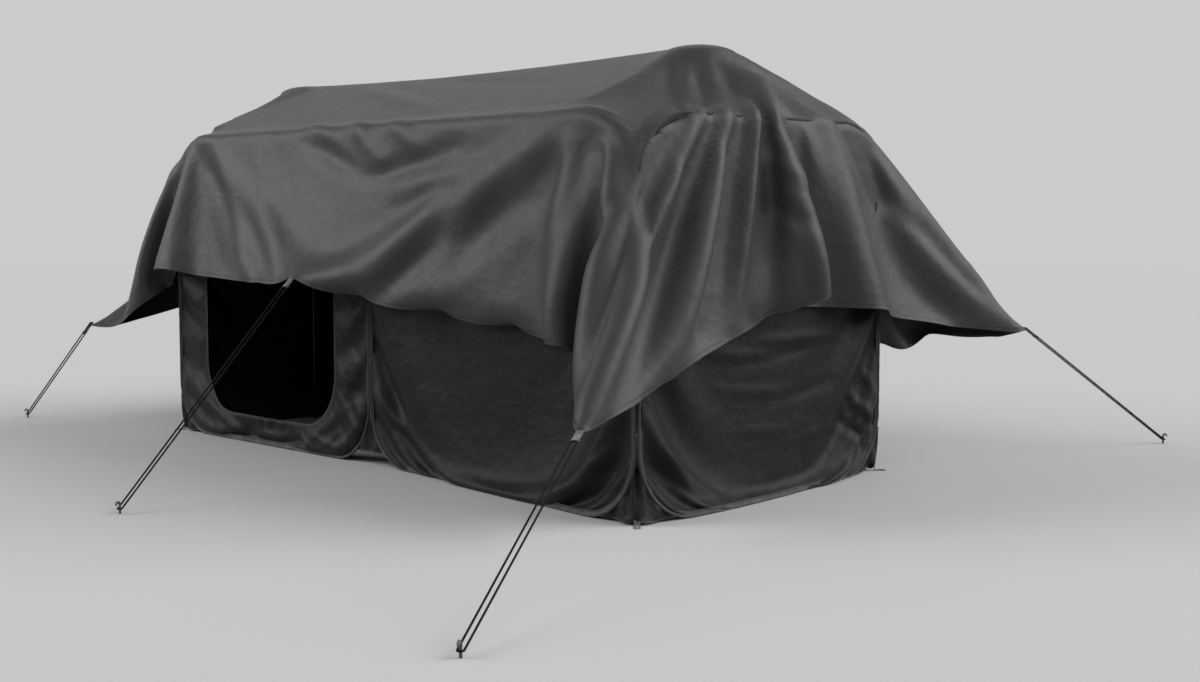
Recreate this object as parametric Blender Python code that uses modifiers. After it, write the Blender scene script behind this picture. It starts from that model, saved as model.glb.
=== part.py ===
"""Two-room hoop-panel observatory tent with a draped rain tarp, guyed out to six pegs.

Units are metres. +X runs along the tent towards its right-hand end, -Y is the front with the doorway,
+Z is up, and the ground is z = 0. The origin lies on the ground under the middle of the tent.
"""
import math

import bmesh
import bpy
from mathutils import Vector
from mathutils.bvhtree import BVHTree

# Driving dimensions of the tent body
HALF_LENGTH = 1.65
HALF_WIDTH = 0.75
HEIGHT = 1.50
HOOP_RADIUS = 0.007
HOOP_CORNER = 0.26
PANEL_THICKNESS = 0.006
TOUCH_GAP = 0.0003

# Doorway in the front left panel
DOOR_LEFT = -1.38
DOOR_RIGHT = -0.27
DOOR_SILL = 0.14
DOOR_HEAD = 1.36
DOOR_CORNER = 0.25

# How the near corner settles when the tent stands: its foot is pushed out
KICK_X = 0.17
KICK_Y = -0.17
KICK_START_X = 0.15
END_BOW = 0.05

# Gussets between the hoops, and the webbing straps at their feet
GUSSET_THICKNESS = 0.003
GUSSET_FOLD = 0.85
GUSSET_GAP = 0.0007
CORNER_STEPS = 7
CORNER_GUSSET_STEPS = (1, 2, 3, 4, 5)
MIDDLE_GUSSET_STEPS = (3, 4, 5)
MIDDLE_GUSSET_SHARES = (-1.0, -0.4, 0.4, 1.0)
STRAP_WIDTH = 0.024
STRAP_LENGTH = 0.055
STRAP_THICKNESS = 0.002

# Poles under the tarp's ridge
LEFT_POLE_X = -1.55
RIGHT_POLE_X = 1.28
POLE_RADIUS = 0.009
CAP_RADIUS = 0.090
CAP_HEIGHT = 0.045
RIDGE_HEIGHT = 1.800
RIDGE_SAG = 0.025
LEFT_RIDGE_FALL = 0.8
RIGHT_RIDGE_FALL = 0.7

# Tarp
TARP_THICKNESS = 0.004
TARP_CLEAR = 0.020
ROOF_GAP = 0.0006
END_ROOF_GAP = 0.006
CROWN_REACH = 0.090
CROWN_DROP = 0.020
ROOF_SHARES = (0.4, 0.7)
SKIRT_SHARE = 0.5
SHOULDER_DEGREES = (0.0, 25.0, 50.0)

# Tie-out corners of the tarp, and the feet of the six guys
TIE_OUTS = {
    "front_right": (1.990, -1.352, 0.395),
    "front_middle": (-0.125, -1.065, 0.838),
    "front_left": (-2.247, -0.953, 0.526),
    "back_left": (-2.280, 1.580, 0.490),
    "back_middle": (-0.040, 1.120, 0.550),
    "back_right": (1.845, 1.645, 0.579),
}
PEGS = {
    "front_right": (2.700, -2.430),
    "front_middle": (0.309, -2.113),
    "front_left": (-2.691, -1.110),
    "back_left": (-2.500, 2.250),
    "back_middle": (-0.200, 2.100),
    "back_right": (2.135, 2.4275),
}

# Guys, tabs and pegs
CORD_RADIUS = 0.00225
CORD_SPREAD = 0.011
TAB_WIDTH = 0.025
TAB_LENGTH = 0.060
TAB_THICKNESS = 0.003
TAB_SEAT = 0.0003
TAB_SEAT_SHARE = 0.8
PEG_RADIUS = 0.005
PEG_STEM = 0.034
PEG_HOOK_RADIUS = 0.011
CORD_HEIGHT_AT_PEG = 0.020
CORD_PEG_SLACK = 0.0004
CORD_BEND_STEPS = 6
CORD_SHARES = (0.25, 0.5, 0.75)

# The tarp's hem between its tie-outs: the place along the wall's top, and the hem's point below it
FRONT_HEM = (
    (-1.10, (-1.13, -0.88, 0.815)),
    (-0.75, (-0.80, -0.935, 0.810)),
    (-0.42, (-0.47, -0.995, 0.810)),
    (0.23, (0.17, -1.00, 0.762)),
    (0.56, (0.50, -0.935, 0.720)),
    (0.89, (0.825, -0.865, 0.690)),
    (1.16, (1.10, -0.835, 0.670)),
)
RIGHT_HEM = (
    (-0.25, (1.752, -0.25, 0.660)),
    (-0.10, (1.775, -0.08, 0.720)),
    (0.04, (1.870, 0.08, 0.775)),
    (0.14, (1.765, 0.13, 0.768)),
    (0.24, (1.710, 0.22, 0.742)),
    (0.36, (1.800, 0.42, 0.725)),
)
BACK_HEM = (
    (1.16, (1.16, 0.86, 0.575)),
    (0.87, (0.85, 0.92, 0.590)),
    (0.60, (0.57, 0.98, 0.580)),
    (0.30, (0.27, 1.06, 0.562)),
    (-0.30, (-0.31, 0.98, 0.490)),
    (-0.62, (-0.62, 0.90, 0.430)),
    (-1.00, (-0.96, 0.90, 0.410)),
)
LEFT_HEM = (
    (0.25, (-1.755, 0.22, 0.817)),
    (0.10, (-1.710, 0.10, 0.847)),
    (0.00, (-1.985, 0.00, 0.940)),
    (-0.08, (-1.880, -0.12, 0.880)),
    (-0.16, (-1.722, -0.17, 0.800)),
    (-0.30, (-1.722, -0.27, 0.755)),
)

# The hem under each shoulder, before it runs into the tie-out: two places on the long side, two on the end
SHOULDER_HEMS = {
    "front_right": (
        ((1.345, -0.90, 0.640), (1.500, -0.93, 0.600)),
        ((1.800, -0.55, 0.575), (1.890, -0.93, 0.475)),
    ),
    "back_right": (
        ((1.500, 0.89, 0.545), (1.690, 1.08, 0.575)),
        ((1.860, 0.60, 0.705), (1.830, 1.00, 0.640)),
    ),
    "back_left": (
        ((-1.460, 1.00, 0.420), (-1.800, 1.24, 0.415)),
        ((-1.860, 0.53, 0.720), (-2.070, 1.03, 0.590)),
    ),
    "front_left": (
        ((-1.550, -0.93, 0.840), (-1.770, -0.84, 0.720)),
        ((-1.850, -0.47, 0.667), (-2.050, -0.70, 0.565)),
    ),
}

SMOOTH_ANGLE = math.radians(40.0)


def clear_scene():
    """Remove every object that the file opened with."""
    for obj in list(bpy.data.objects):
        bpy.data.objects.remove(obj, do_unlink=True)


def make_collection(name):
    """Make a collection and link it to the scene."""
    collection = bpy.data.collections.new(name)
    bpy.context.scene.collection.children.link(collection)
    return collection


def make_material(name, color, roughness, metallic=0.0):
    """Make a Principled material from a colour, a roughness and a metallic value."""
    material = bpy.data.materials.new(name)
    material.use_nodes = True
    shader = material.node_tree.nodes["Principled BSDF"]
    shader.inputs["Base Color"].default_value = (*color, 1.0)
    shader.inputs["Roughness"].default_value = roughness
    shader.inputs["Metallic"].default_value = metallic
    return material


def smoothstep(value):
    """Ease a value from 0 to 1."""
    t = min(max(value, 0.0), 1.0)
    return t * t * (3.0 - 2.0 * t)


def settle(x, y, z):
    """Push a point of the tent body out towards the near corner's foot."""
    low = max(1.0 - z / HEIGHT, 0.0) ** 1.5
    near_x = smoothstep((x - KICK_START_X) / (HALF_LENGTH - KICK_START_X))
    near_y = smoothstep((HALF_WIDTH - y) / (2.0 * HALF_WIDTH))
    bow = 0.0
    if x > KICK_START_X:
        bow = END_BOW * near_x * low * math.cos(math.pi * y / (2.0 * HALF_WIDTH))
    push = near_x * near_y * low
    return Vector((x + KICK_X * push + bow, y + KICK_Y * push, z))


def rounded_rectangle(left, right, low, high, corner, corner_steps=CORNER_STEPS, side_steps=4):
    """Points of a rounded rectangle, counterclockwise from the foot of its right side.

    Every outline has the same number of points, so that one can be lofted to another.
    """
    points = []
    centres = (
        (right - corner, low + corner, -90.0),
        (right - corner, high - corner, 0.0),
        (left + corner, high - corner, 90.0),
        (left + corner, low + corner, 180.0),
    )
    for index, (across, up, start) in enumerate(centres):
        for step in range(corner_steps + 1):
            angle = math.radians(start + 90.0 * step / corner_steps)
            points.append((across + corner * math.cos(angle), up + corner * math.sin(angle)))
        last = points[-1]
        next_across, next_up, next_start = centres[(index + 1) % 4]
        angle = math.radians(next_start)
        target = (next_across + corner * math.cos(angle), next_up + corner * math.sin(angle))
        for step in range(1, side_steps):
            share = step / side_steps
            points.append(
                (last[0] + (target[0] - last[0]) * share, last[1] + (target[1] - last[1]) * share)
            )
    return points


class Wall:
    """One wall's plane: it turns a place across and up the wall into a settled point."""

    def __init__(self, plane, along_x):
        self.plane = plane
        self.along_x = along_x

    def point(self, across, up):
        """The settled point at a place on the wall."""
        if self.along_x:
            return settle(across, self.plane, up)
        return settle(self.plane, across, up)


END_STEP = math.sqrt(0.5) * (2.0 * HOOP_RADIUS + TOUCH_GAP)
END_PLANE = HALF_LENGTH + END_STEP
END_HALF = HALF_WIDTH - END_STEP
MIDDLE_LEG = HOOP_RADIUS + TOUCH_GAP / 2.0

FRONT = Wall(-HALF_WIDTH, True)
BACK = Wall(HALF_WIDTH, True)
RIGHT_END = Wall(END_PLANE, False)
LEFT_END = Wall(-END_PLANE, False)

# Panel name, its wall, and the two ends of its hoop across the wall
PANELS = (
    ("front_left", FRONT, -HALF_LENGTH, -MIDDLE_LEG),
    ("front_right", FRONT, MIDDLE_LEG, HALF_LENGTH),
    ("back_left", BACK, -HALF_LENGTH, -MIDDLE_LEG),
    ("back_right", BACK, MIDDLE_LEG, HALF_LENGTH),
    ("left_end", LEFT_END, -END_HALF, END_HALF),
    ("right_end", RIGHT_END, -END_HALF, END_HALF),
)


class Builder:
    """Turns the tent's shapes into named objects in one collection."""

    def __init__(self, collection, materials):
        self.collection = collection
        self.materials = materials

    def link_mesh(self, name, bm, material):
        """Turn a bmesh into a smooth-shaded object."""
        bmesh.ops.recalc_face_normals(bm, faces=bm.faces)
        mesh = bpy.data.meshes.new(name)
        bm.to_mesh(mesh)
        bm.free()
        mesh.shade_smooth()
        mesh.set_sharp_from_angle(angle=SMOOTH_ANGLE)
        mesh.materials.append(self.materials[material])
        obj = bpy.data.objects.new(name, mesh)
        self.collection.objects.link(obj)
        return obj

    def thicken(self, obj, thickness, offset=0.0):
        """Give an open surface its thickness; offset 1 keeps its inner face where it is."""
        solidify = obj.modifiers.new("thickness", "SOLIDIFY")
        solidify.thickness = thickness
        solidify.offset = offset
        solidify.use_even_offset = True
        return obj

    def loft(self, name, rows, material, closed):
        """Join rows of points with quads; closed rows are rings."""
        bm = bmesh.new()
        grid = [[bm.verts.new(point) for point in row] for row in rows]
        count = len(grid[0])
        for lower, upper in zip(grid, grid[1:]):
            for i in range(count if closed else count - 1):
                j = (i + 1) % count
                bm.faces.new((lower[i], lower[j], upper[j], upper[i]))
        bmesh.ops.remove_doubles(bm, verts=bm.verts, dist=0.00005)
        return self.link_mesh(name, bm, material)

    def tube(self, name, points, radius, material, cyclic=False, resolution=2):
        """A tube along a list of points."""
        curve = bpy.data.curves.new(name, "CURVE")
        curve.dimensions = "3D"
        curve.bevel_depth = radius
        curve.bevel_resolution = resolution
        curve.use_fill_caps = True
        spline = curve.splines.new("POLY")
        spline.points.add(len(points) - 1)
        for target, point in zip(spline.points, points):
            target.co = (*point, 1.0)
        spline.use_cyclic_u = cyclic
        curve.materials.append(self.materials[material])
        obj = bpy.data.objects.new(name, curve)
        self.collection.objects.link(obj)
        return obj


def build_panels(builder):
    """The cloth panel inside each hoop; the front left one has the doorway."""
    inset = HOOP_RADIUS + TOUCH_GAP
    for name, wall, left, right in PANELS:
        low = HOOP_RADIUS + inset
        high = HEIGHT - HOOP_RADIUS - inset
        outer = rounded_rectangle(left + inset, right - inset, low, high, HOOP_CORNER - inset)
        if name == "front_left":
            inner = rounded_rectangle(DOOR_LEFT, DOOR_RIGHT, DOOR_SILL, DOOR_HEAD, DOOR_CORNER)
            shares = (0.0, 0.5, 1.0)
        else:
            middle = ((left + right) / 2.0, HEIGHT / 2.0)
            inner = [middle] * len(outer)
            shares = (0.0, 0.25, 0.6, 1.0)
        rows = []
        for share in shares:
            rows.append(
                [
                    wall.point(a[0] + (b[0] - a[0]) * share, a[1] + (b[1] - a[1]) * share)
                    for a, b in zip(outer, inner)
                ]
            )
        panel = builder.loft(f"{name}_panel", rows, "tent_cloth", closed=True)
        builder.thicken(panel, PANEL_THICKNESS)


def build_hoops(builder):
    """The sprung wire hoop in its sleeve round each panel."""
    for name, wall, left, right in PANELS:
        outline = rounded_rectangle(left, right, HOOP_RADIUS, HEIGHT - HOOP_RADIUS, HOOP_CORNER)
        path = [wall.point(across, up) for across, up in outline]
        builder.tube(f"{name}_hoop", path, HOOP_RADIUS, "sleeve", cyclic=True)


def hoop_corner_row(step):
    """Height, inward reach and slope of a hoop's lower corner at one step of its outline."""
    angle = math.radians(90.0 * step / CORNER_STEPS)
    height = HOOP_RADIUS + HOOP_CORNER * (1.0 - math.cos(angle))
    return height, HOOP_CORNER * (1.0 - math.sin(angle)), angle


def build_corner_gussets(builder):
    """The folded cloth that closes the gap between two hoops at each lower corner."""
    for front_back, side_y in (("front", -1.0), ("back", 1.0)):
        for left_right, side_x in (("left", -1.0), ("right", 1.0)):
            rows = []
            for step in CORNER_GUSSET_STEPS:
                height, inward, slope = hoop_corner_row(step)
                long_side = Vector((side_x * (HALF_LENGTH - inward), side_y * HALF_WIDTH, height))
                end_side = Vector((side_x * END_PLANE, side_y * (END_HALF - inward), height))
                middle = (long_side + end_side) / 2.0
                outward = Vector((side_x, side_y, 0.0)).normalized()
                crease = middle + outward * (GUSSET_FOLD * (end_side - long_side).length / 2.0)
                clear = HOOP_RADIUS + GUSSET_GAP
                row = []
                for start in (long_side, end_side):
                    towards = (crease - start).normalized()
                    along_wall = abs(towards.x if start is long_side else towards.y)
                    slant = math.sqrt(1.0 - (along_wall * math.cos(slope)) ** 2)
                    begin = start + towards * (clear / slant)
                    row.append((begin, begin.lerp(crease, 0.5)))
                ring = [row[0][0], row[0][1], crease, row[1][1], row[1][0]]
                rows.append([settle(*point) for point in ring])
            gusset = builder.loft(f"{front_back}_{left_right}_gusset", rows, "tent_cloth", closed=False)
            builder.thicken(gusset, GUSSET_THICKNESS)


def build_middle_gussets(builder):
    """The flat cloth between the two long-side hoops where they meet at mid-length."""
    for name, side_y in (("front_middle_gusset", -1.0), ("back_middle_gusset", 1.0)):
        rows = []
        for step in MIDDLE_GUSSET_STEPS:
            height, inward, slope = hoop_corner_row(step)
            clear = (HOOP_RADIUS + 2.0 * TOUCH_GAP) / math.sin(slope)
            reach = MIDDLE_LEG + inward - clear
            rows.append([settle(reach * share, side_y * HALF_WIDTH, height) for share in MIDDLE_GUSSET_SHARES])
        gusset = builder.loft(name, rows, "tent_cloth", closed=False)
        builder.thicken(gusset, GUSSET_THICKNESS)


def build_ground_straps(builder):
    """The short webbing strap at the foot of each corner, bent from the gusset out along the ground."""
    for front_back, side_y in (("front", -1.0), ("back", 1.0)):
        for left_right, side_x in (("left", -1.0), ("right", 1.0)):
            foot_height, inward, _ = hoop_corner_row(CORNER_GUSSET_STEPS[0])
            fold = GUSSET_FOLD * math.sqrt(0.5) * (inward + END_STEP)
            middle_x = HALF_LENGTH + END_STEP / 2.0 - inward / 2.0
            middle_y = HALF_WIDTH - END_STEP / 2.0 - inward / 2.0
            outward = Vector((side_x, side_y, 0.0)).normalized()
            crease = Vector((side_x * middle_x, side_y * middle_y, 0.0)) + outward * fold
            start = settle(crease.x, crease.y, foot_height)
            start.z = 0.0
            across = Vector((-outward.y, outward.x, 0.0)) * (STRAP_WIDTH / 2.0)
            profile = (
                start + Vector((0.0, 0.0, foot_height - 2.0 * TOUCH_GAP)),
                start + Vector((0.0, 0.0, STRAP_THICKNESS / 2.0)),
                start + outward * STRAP_LENGTH + Vector((0.0, 0.0, STRAP_THICKNESS / 2.0)),
            )
            rows = [[point - across, point + across] for point in profile]
            strap = builder.loft(f"{front_back}_{left_right}_strap", rows, "webbing", closed=False)
            builder.thicken(strap, STRAP_THICKNESS)


def ridge_height(x):
    """Height of the tarp's underside along its ridge."""
    if x <= LEFT_POLE_X:
        return RIDGE_HEIGHT - (LEFT_POLE_X - x) * LEFT_RIDGE_FALL
    if x >= RIGHT_POLE_X:
        return RIDGE_HEIGHT - (x - RIGHT_POLE_X) * RIGHT_RIDGE_FALL
    share = (x - LEFT_POLE_X) / (RIGHT_POLE_X - LEFT_POLE_X)
    return RIDGE_HEIGHT - 4.0 * RIDGE_SAG * share * (1.0 - share)


def guy_frame(name):
    """Start, end and directions of one guy: from the tarp's tie-out down to the peg."""
    tie = Vector(TIE_OUTS[name])
    peg = Vector((*PEGS[name], CORD_HEIGHT_AT_PEG))
    along = (peg - tie).normalized()
    across = Vector((-along.y, along.x, 0.0)).normalized()
    return tie, peg, along, across


def tie_edge(name):
    """The two ends of the tarp's short edge at a tie-out: at a corner, first the long side's end."""
    tie = Vector(TIE_OUTS[name])
    _, _, _, across = guy_frame(name)
    long_way = across if across.x * tie.x < 0.0 else -across
    return tie + long_way * (TAB_WIDTH / 2.0), tie - long_way * (TAB_WIDTH / 2.0)


def tab_seat(name):
    """Distance from a tie-out at which its tab starts, clear of the tarp's edge."""
    tie, _, along, _ = guy_frame(name)
    above = Vector((tie.x, math.copysign(HALF_WIDTH, tie.y), HEIGHT))
    if "middle" not in name:
        above.x = math.copysign(HALF_LENGTH, tie.x)
    turn = (tie - above).normalized().cross(along).length
    return TAB_SEAT + TAB_SEAT_SHARE * TARP_THICKNESS * turn


def seat_height(crown_reach, edge_reach, hoop_reach, gap):
    """Height of the tarp's edge line where its roof just lies on a hoop's top.

    The reaches are level distances from the pole's top: to the crown, the tarp's edge and the hoop's axis.
    """
    crown_height = RIDGE_HEIGHT - CROWN_DROP
    run = hoop_reach - crown_reach
    rise = HEIGHT - HOOP_RADIUS - crown_height
    slope = math.atan2(rise, run) + math.asin((HOOP_RADIUS + gap) / math.hypot(run, rise))
    return crown_height + (edge_reach - crown_reach) * math.tan(slope)


def tarp_columns():
    """Hem point, wall-top point and ridge point of each column round the tarp.

    The hem points are the tarp's lower edge as it hangs, from tie-out to tie-out.
    """
    top = HEIGHT + TARP_CLEAR
    side_y = HALF_WIDTH + HOOP_RADIUS + TARP_CLEAR / 2.0
    side_x = END_PLANE + HOOP_RADIUS + TARP_CLEAR / 2.0

    def column(hem, x, y, z=None):
        """One column, from its hem point and its place on the wall's top."""
        pole = min(max(x, LEFT_POLE_X), RIGHT_POLE_X)
        level = math.hypot(x - pole, y)
        if z is None and abs(y) >= side_y:
            z = seat_height(CROWN_REACH * abs(y) / level, side_y, HALF_WIDTH, ROOF_GAP)
        elif z is None:
            crown_reach = CROWN_REACH * abs(x - pole) / level
            z = seat_height(crown_reach, side_x - abs(pole), END_PLANE - abs(pole), END_ROOF_GAP)
        return Vector(hem), Vector((x, y, z)), Vector((pole, 0.0, ridge_height(pole)))

    def corner(name, sign_x, sign_y):
        """The columns over one shoulder, along the long hoop's corner and then the end hoop's."""
        radius = HOOP_CORNER + HOOP_RADIUS + TARP_CLEAR
        long_hems, end_hems = SHOULDER_HEMS[name]
        tie_long, tie_end = tie_edge(name)
        long_columns = []
        end_columns = []
        for degrees, long_hem, end_hem in zip(SHOULDER_DEGREES, (*long_hems, tie_long), (*end_hems, tie_end)):
            angle = math.radians(degrees)
            out = radius * math.sin(angle) - HOOP_CORNER
            up = top - radius * (1.0 - math.cos(angle)) if degrees else None
            long_columns.append(column(long_hem, sign_x * (HALF_LENGTH + out), sign_y * side_y, up))
            end_columns.append(column(end_hem, sign_x * side_x, sign_y * (END_HALF + out), up))
        return long_columns + end_columns[::-1]

    def long_side(hems, name, sign_y):
        """The columns along a long side, in order of x, with the middle tie-out's short edge among them."""
        found = [column(hem, x, sign_y * side_y) for x, hem in hems]
        found += [column(end, end.x, sign_y * side_y) for end in tie_edge(name)]
        return sorted(found, key=lambda points: points[1].x)

    columns = long_side(FRONT_HEM, "front_middle", -1.0)
    columns += corner("front_right", 1.0, -1.0)
    columns += [column(hem, side_x, y) for y, hem in RIGHT_HEM]
    columns += corner("back_right", 1.0, 1.0)[::-1]
    columns += long_side(BACK_HEM, "back_middle", 1.0)[::-1]
    columns += corner("back_left", -1.0, 1.0)
    columns += [column(hem, -side_x, y) for y, hem in LEFT_HEM]
    columns += corner("front_left", -1.0, -1.0)[::-1]
    return columns


def build_tarp(builder):
    """The rain tarp: a hipped top over the poles and hoops, and a skirt drawn out to the tie-outs."""
    rows = [[] for _ in range(5 + len(ROOF_SHARES))]
    for hem, edge, ridge in tarp_columns():
        outward = Vector((edge.x - ridge.x, edge.y - ridge.y, 0.0))
        crown = ridge + outward.normalized() * CROWN_REACH - Vector((0.0, 0.0, CROWN_DROP))
        stations = [ridge, crown]
        stations += [crown.lerp(edge, share) for share in ROOF_SHARES]
        stations += [edge, edge.lerp(hem, SKIRT_SHARE), hem]
        for row, point in zip(rows, stations):
            row.append(point)
    tarp = builder.loft("rain_tarp", rows, "tarp_cloth", closed=True)
    return builder.thicken(tarp, TARP_THICKNESS, offset=1.0)


def build_poles(builder, tarp):
    """The two upright poles and their domed caps, which hold up the ridge inside the tent."""
    tree = BVHTree.FromObject(tarp, bpy.context.evaluated_depsgraph_get())
    for name, x in (("left", LEFT_POLE_X), ("right", RIGHT_POLE_X)):
        bm = bmesh.new()
        bmesh.ops.create_uvsphere(bm, u_segments=20, v_segments=10, radius=1.0)
        bmesh.ops.bisect_plane(
            bm,
            geom=list(bm.verts) + list(bm.edges) + list(bm.faces),
            plane_co=(0.0, 0.0, 0.0),
            plane_no=(0.0, 0.0, -1.0),
            clear_outer=True,
            dist=0.0001,
        )
        bmesh.ops.holes_fill(bm, edges=[edge for edge in bm.edges if edge.is_boundary])
        for vert in bm.verts:
            vert.co = Vector((x + vert.co.x * CAP_RADIUS, vert.co.y * CAP_RADIUS, vert.co.z * CAP_HEIGHT))
        room = []
        for vert in bm.verts:
            start = Vector((vert.co.x, vert.co.y, HEIGHT))
            hit = tree.ray_cast(start, Vector((0.0, 0.0, 1.0)))[0]
            room.append(hit.z - vert.co.z)
        base = min(room) - TOUCH_GAP
        bmesh.ops.translate(bm, verts=bm.verts, vec=(0.0, 0.0, base))
        builder.link_mesh(f"{name}_pole_cap", bm, "peg_plastic")
        length = base - TOUCH_GAP
        bpy.ops.mesh.primitive_cylinder_add(
            vertices=16, radius=POLE_RADIUS, depth=length, location=(x, 0.0, length / 2.0)
        )
        take_primitive(builder, f"{name}_ridge_pole", "pole_metal")


def take_primitive(builder, name, material):
    """Name the primitive just added, and move it to the tent's collection."""
    obj = bpy.context.active_object
    obj.name = name
    obj.data.name = name
    obj.data.materials.append(builder.materials[material])
    for collection in list(obj.users_collection):
        collection.objects.unlink(obj)
    builder.collection.objects.link(obj)
    return obj


def build_tabs(builder):
    """The webbing tab that each guy pulls on."""
    for name in TIE_OUTS:
        tie, _, along, across = guy_frame(name)
        start = tie + along * tab_seat(name)
        half = across * (TAB_WIDTH / 2.0)
        rows = [
            [start - half, start + half],
            [start + along * (TAB_LENGTH / 2.0) - half, start + along * (TAB_LENGTH / 2.0) + half],
            [start + along * TAB_LENGTH - half, start + along * TAB_LENGTH + half],
        ]
        tab = builder.loft(f"{name}_tab", rows, "webbing", closed=False)
        builder.thicken(tab, TAB_THICKNESS)


def build_guys(builder):
    """The doubled cord from each tab, looped round its peg."""
    for name in TIE_OUTS:
        tie, peg, along, across = guy_frame(name)
        flat = Vector((along.x, along.y, 0.0)).normalized()
        high = tie + along * (tab_seat(name) + TAB_LENGTH + TOUCH_GAP + CORD_RADIUS + CORD_SPREAD)
        loop = PEG_RADIUS + CORD_RADIUS + TOUCH_GAP + CORD_PEG_SLACK
        points = []
        for step in range(CORD_BEND_STEPS + 1):
            angle = math.pi * step / CORD_BEND_STEPS
            bend = across * (CORD_SPREAD * math.cos(angle)) - along * (CORD_SPREAD * math.sin(angle))
            points.append(high + bend)
        for share in CORD_SHARES:
            width = CORD_SPREAD + (loop - CORD_SPREAD) * share
            points.append(high.lerp(peg, share) - across * width)
        for step in range(CORD_BEND_STEPS + 1):
            angle = math.pi * step / CORD_BEND_STEPS
            points.append(peg + flat * (loop * math.sin(angle)) - across * (loop * math.cos(angle)))
        for share in reversed(CORD_SHARES):
            width = CORD_SPREAD + (loop - CORD_SPREAD) * share
            points.append(high.lerp(peg, share) + across * width)
        builder.tube(f"{name}_guy", points, CORD_RADIUS, "cord", cyclic=True)


def build_pegs(builder):
    """The hooked head of each peg, from the ground up."""
    for name, (x, y) in PEGS.items():
        _, _, along, _ = guy_frame(name)
        away = Vector((along.x, along.y, 0.0)).normalized()
        foot = Vector((x, y, 0.0))
        points = [foot, foot + Vector((0.0, 0.0, PEG_STEM / 2.0)), foot + Vector((0.0, 0.0, PEG_STEM))]
        centre = foot + away * PEG_HOOK_RADIUS + Vector((0.0, 0.0, PEG_STEM))
        for step in range(1, 7):
            angle = math.pi * step / 6
            points.append(
                centre - away * (PEG_HOOK_RADIUS * math.cos(angle))
                + Vector((0.0, 0.0, PEG_HOOK_RADIUS * math.sin(angle)))
            )
        builder.tube(f"{name}_peg", points, PEG_RADIUS, "peg_plastic")


def main():
    """Build the whole tent."""
    clear_scene()
    materials = {
        "tent_cloth": make_material("tent_cloth", (0.018, 0.018, 0.019), 0.55),
        "tarp_cloth": make_material("tarp_cloth", (0.055, 0.055, 0.057), 0.50),
        "sleeve": make_material("sleeve", (0.035, 0.035, 0.037), 0.60),
        "webbing": make_material("webbing", (0.080, 0.080, 0.082), 0.75),
        "cord": make_material("cord", (0.060, 0.060, 0.062), 0.70),
        "peg_plastic": make_material("peg_plastic", (0.012, 0.012, 0.012), 0.45),
        "pole_metal": make_material("pole_metal", (0.450, 0.450, 0.460), 0.35, metallic=1.0),
    }
    builder = Builder(make_collection("observatory_tent"), materials)
    build_panels(builder)
    build_hoops(builder)
    build_corner_gussets(builder)
    build_middle_gussets(builder)
    build_ground_straps(builder)
    tarp = build_tarp(builder)
    build_poles(builder, tarp)
    build_tabs(builder)
    build_guys(builder)
    build_pegs(builder)


main()
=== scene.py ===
"""Looks of a two-room hoop-panel observatory tent: sewn cloth walls, a draped rain tarp, guys and pegs.

Units are metres. +X runs along the tent towards its right-hand end, -Y is the front with the doorway, and the
ground is z = 0. Cloth is settled by a small solver of linked points, which gives the same folds each run.
"""
import logging
import math
from collections.abc import Callable
from dataclasses import dataclass, field
from enum import Enum
from functools import cache

import bmesh
import bpy
import numpy as np
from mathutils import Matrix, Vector


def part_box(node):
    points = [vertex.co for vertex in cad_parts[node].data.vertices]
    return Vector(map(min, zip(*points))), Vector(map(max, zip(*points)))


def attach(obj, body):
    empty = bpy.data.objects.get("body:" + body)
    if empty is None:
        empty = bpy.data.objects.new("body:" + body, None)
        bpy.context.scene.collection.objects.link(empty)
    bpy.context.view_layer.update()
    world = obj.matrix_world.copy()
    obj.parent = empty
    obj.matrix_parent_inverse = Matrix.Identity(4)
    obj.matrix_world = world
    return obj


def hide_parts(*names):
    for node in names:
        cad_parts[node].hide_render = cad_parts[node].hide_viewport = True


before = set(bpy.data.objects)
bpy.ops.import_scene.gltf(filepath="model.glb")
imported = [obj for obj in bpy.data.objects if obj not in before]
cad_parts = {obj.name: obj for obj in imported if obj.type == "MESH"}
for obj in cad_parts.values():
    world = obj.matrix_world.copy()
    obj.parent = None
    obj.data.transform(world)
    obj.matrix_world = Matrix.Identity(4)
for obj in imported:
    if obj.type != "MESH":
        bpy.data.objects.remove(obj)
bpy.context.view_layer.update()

Array = np.ndarray
Place = tuple[float, float]
Point = tuple[float, float, float]
Colour = tuple[float, float, float]
Piece = bpy.types.Object
Material = bpy.types.Material
Tree = bpy.types.NodeTree
Socket = bpy.types.NodeSocket
Sockets = bpy.types.bpy_prop_collection

BODY = "root"
CUT_MAP = "cut"
UP = np.array([0.0, 0.0, 1.0])
# The range that a wave's phase is drawn from, in radians.
FULL_TURN = 6.28
# A length that counts as none.
TINY = 1e-6
# How much of its speed hanging cloth keeps in each step, and how near the ground it may come.
HANG_DRAG = 0.9
LEAST_HEIGHT = 0.002
# How far a seam's thread stands off the strip that it holds.
THREAD_LIFT = 0.0001
log = logging.getLogger("observatory_tent")


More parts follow.
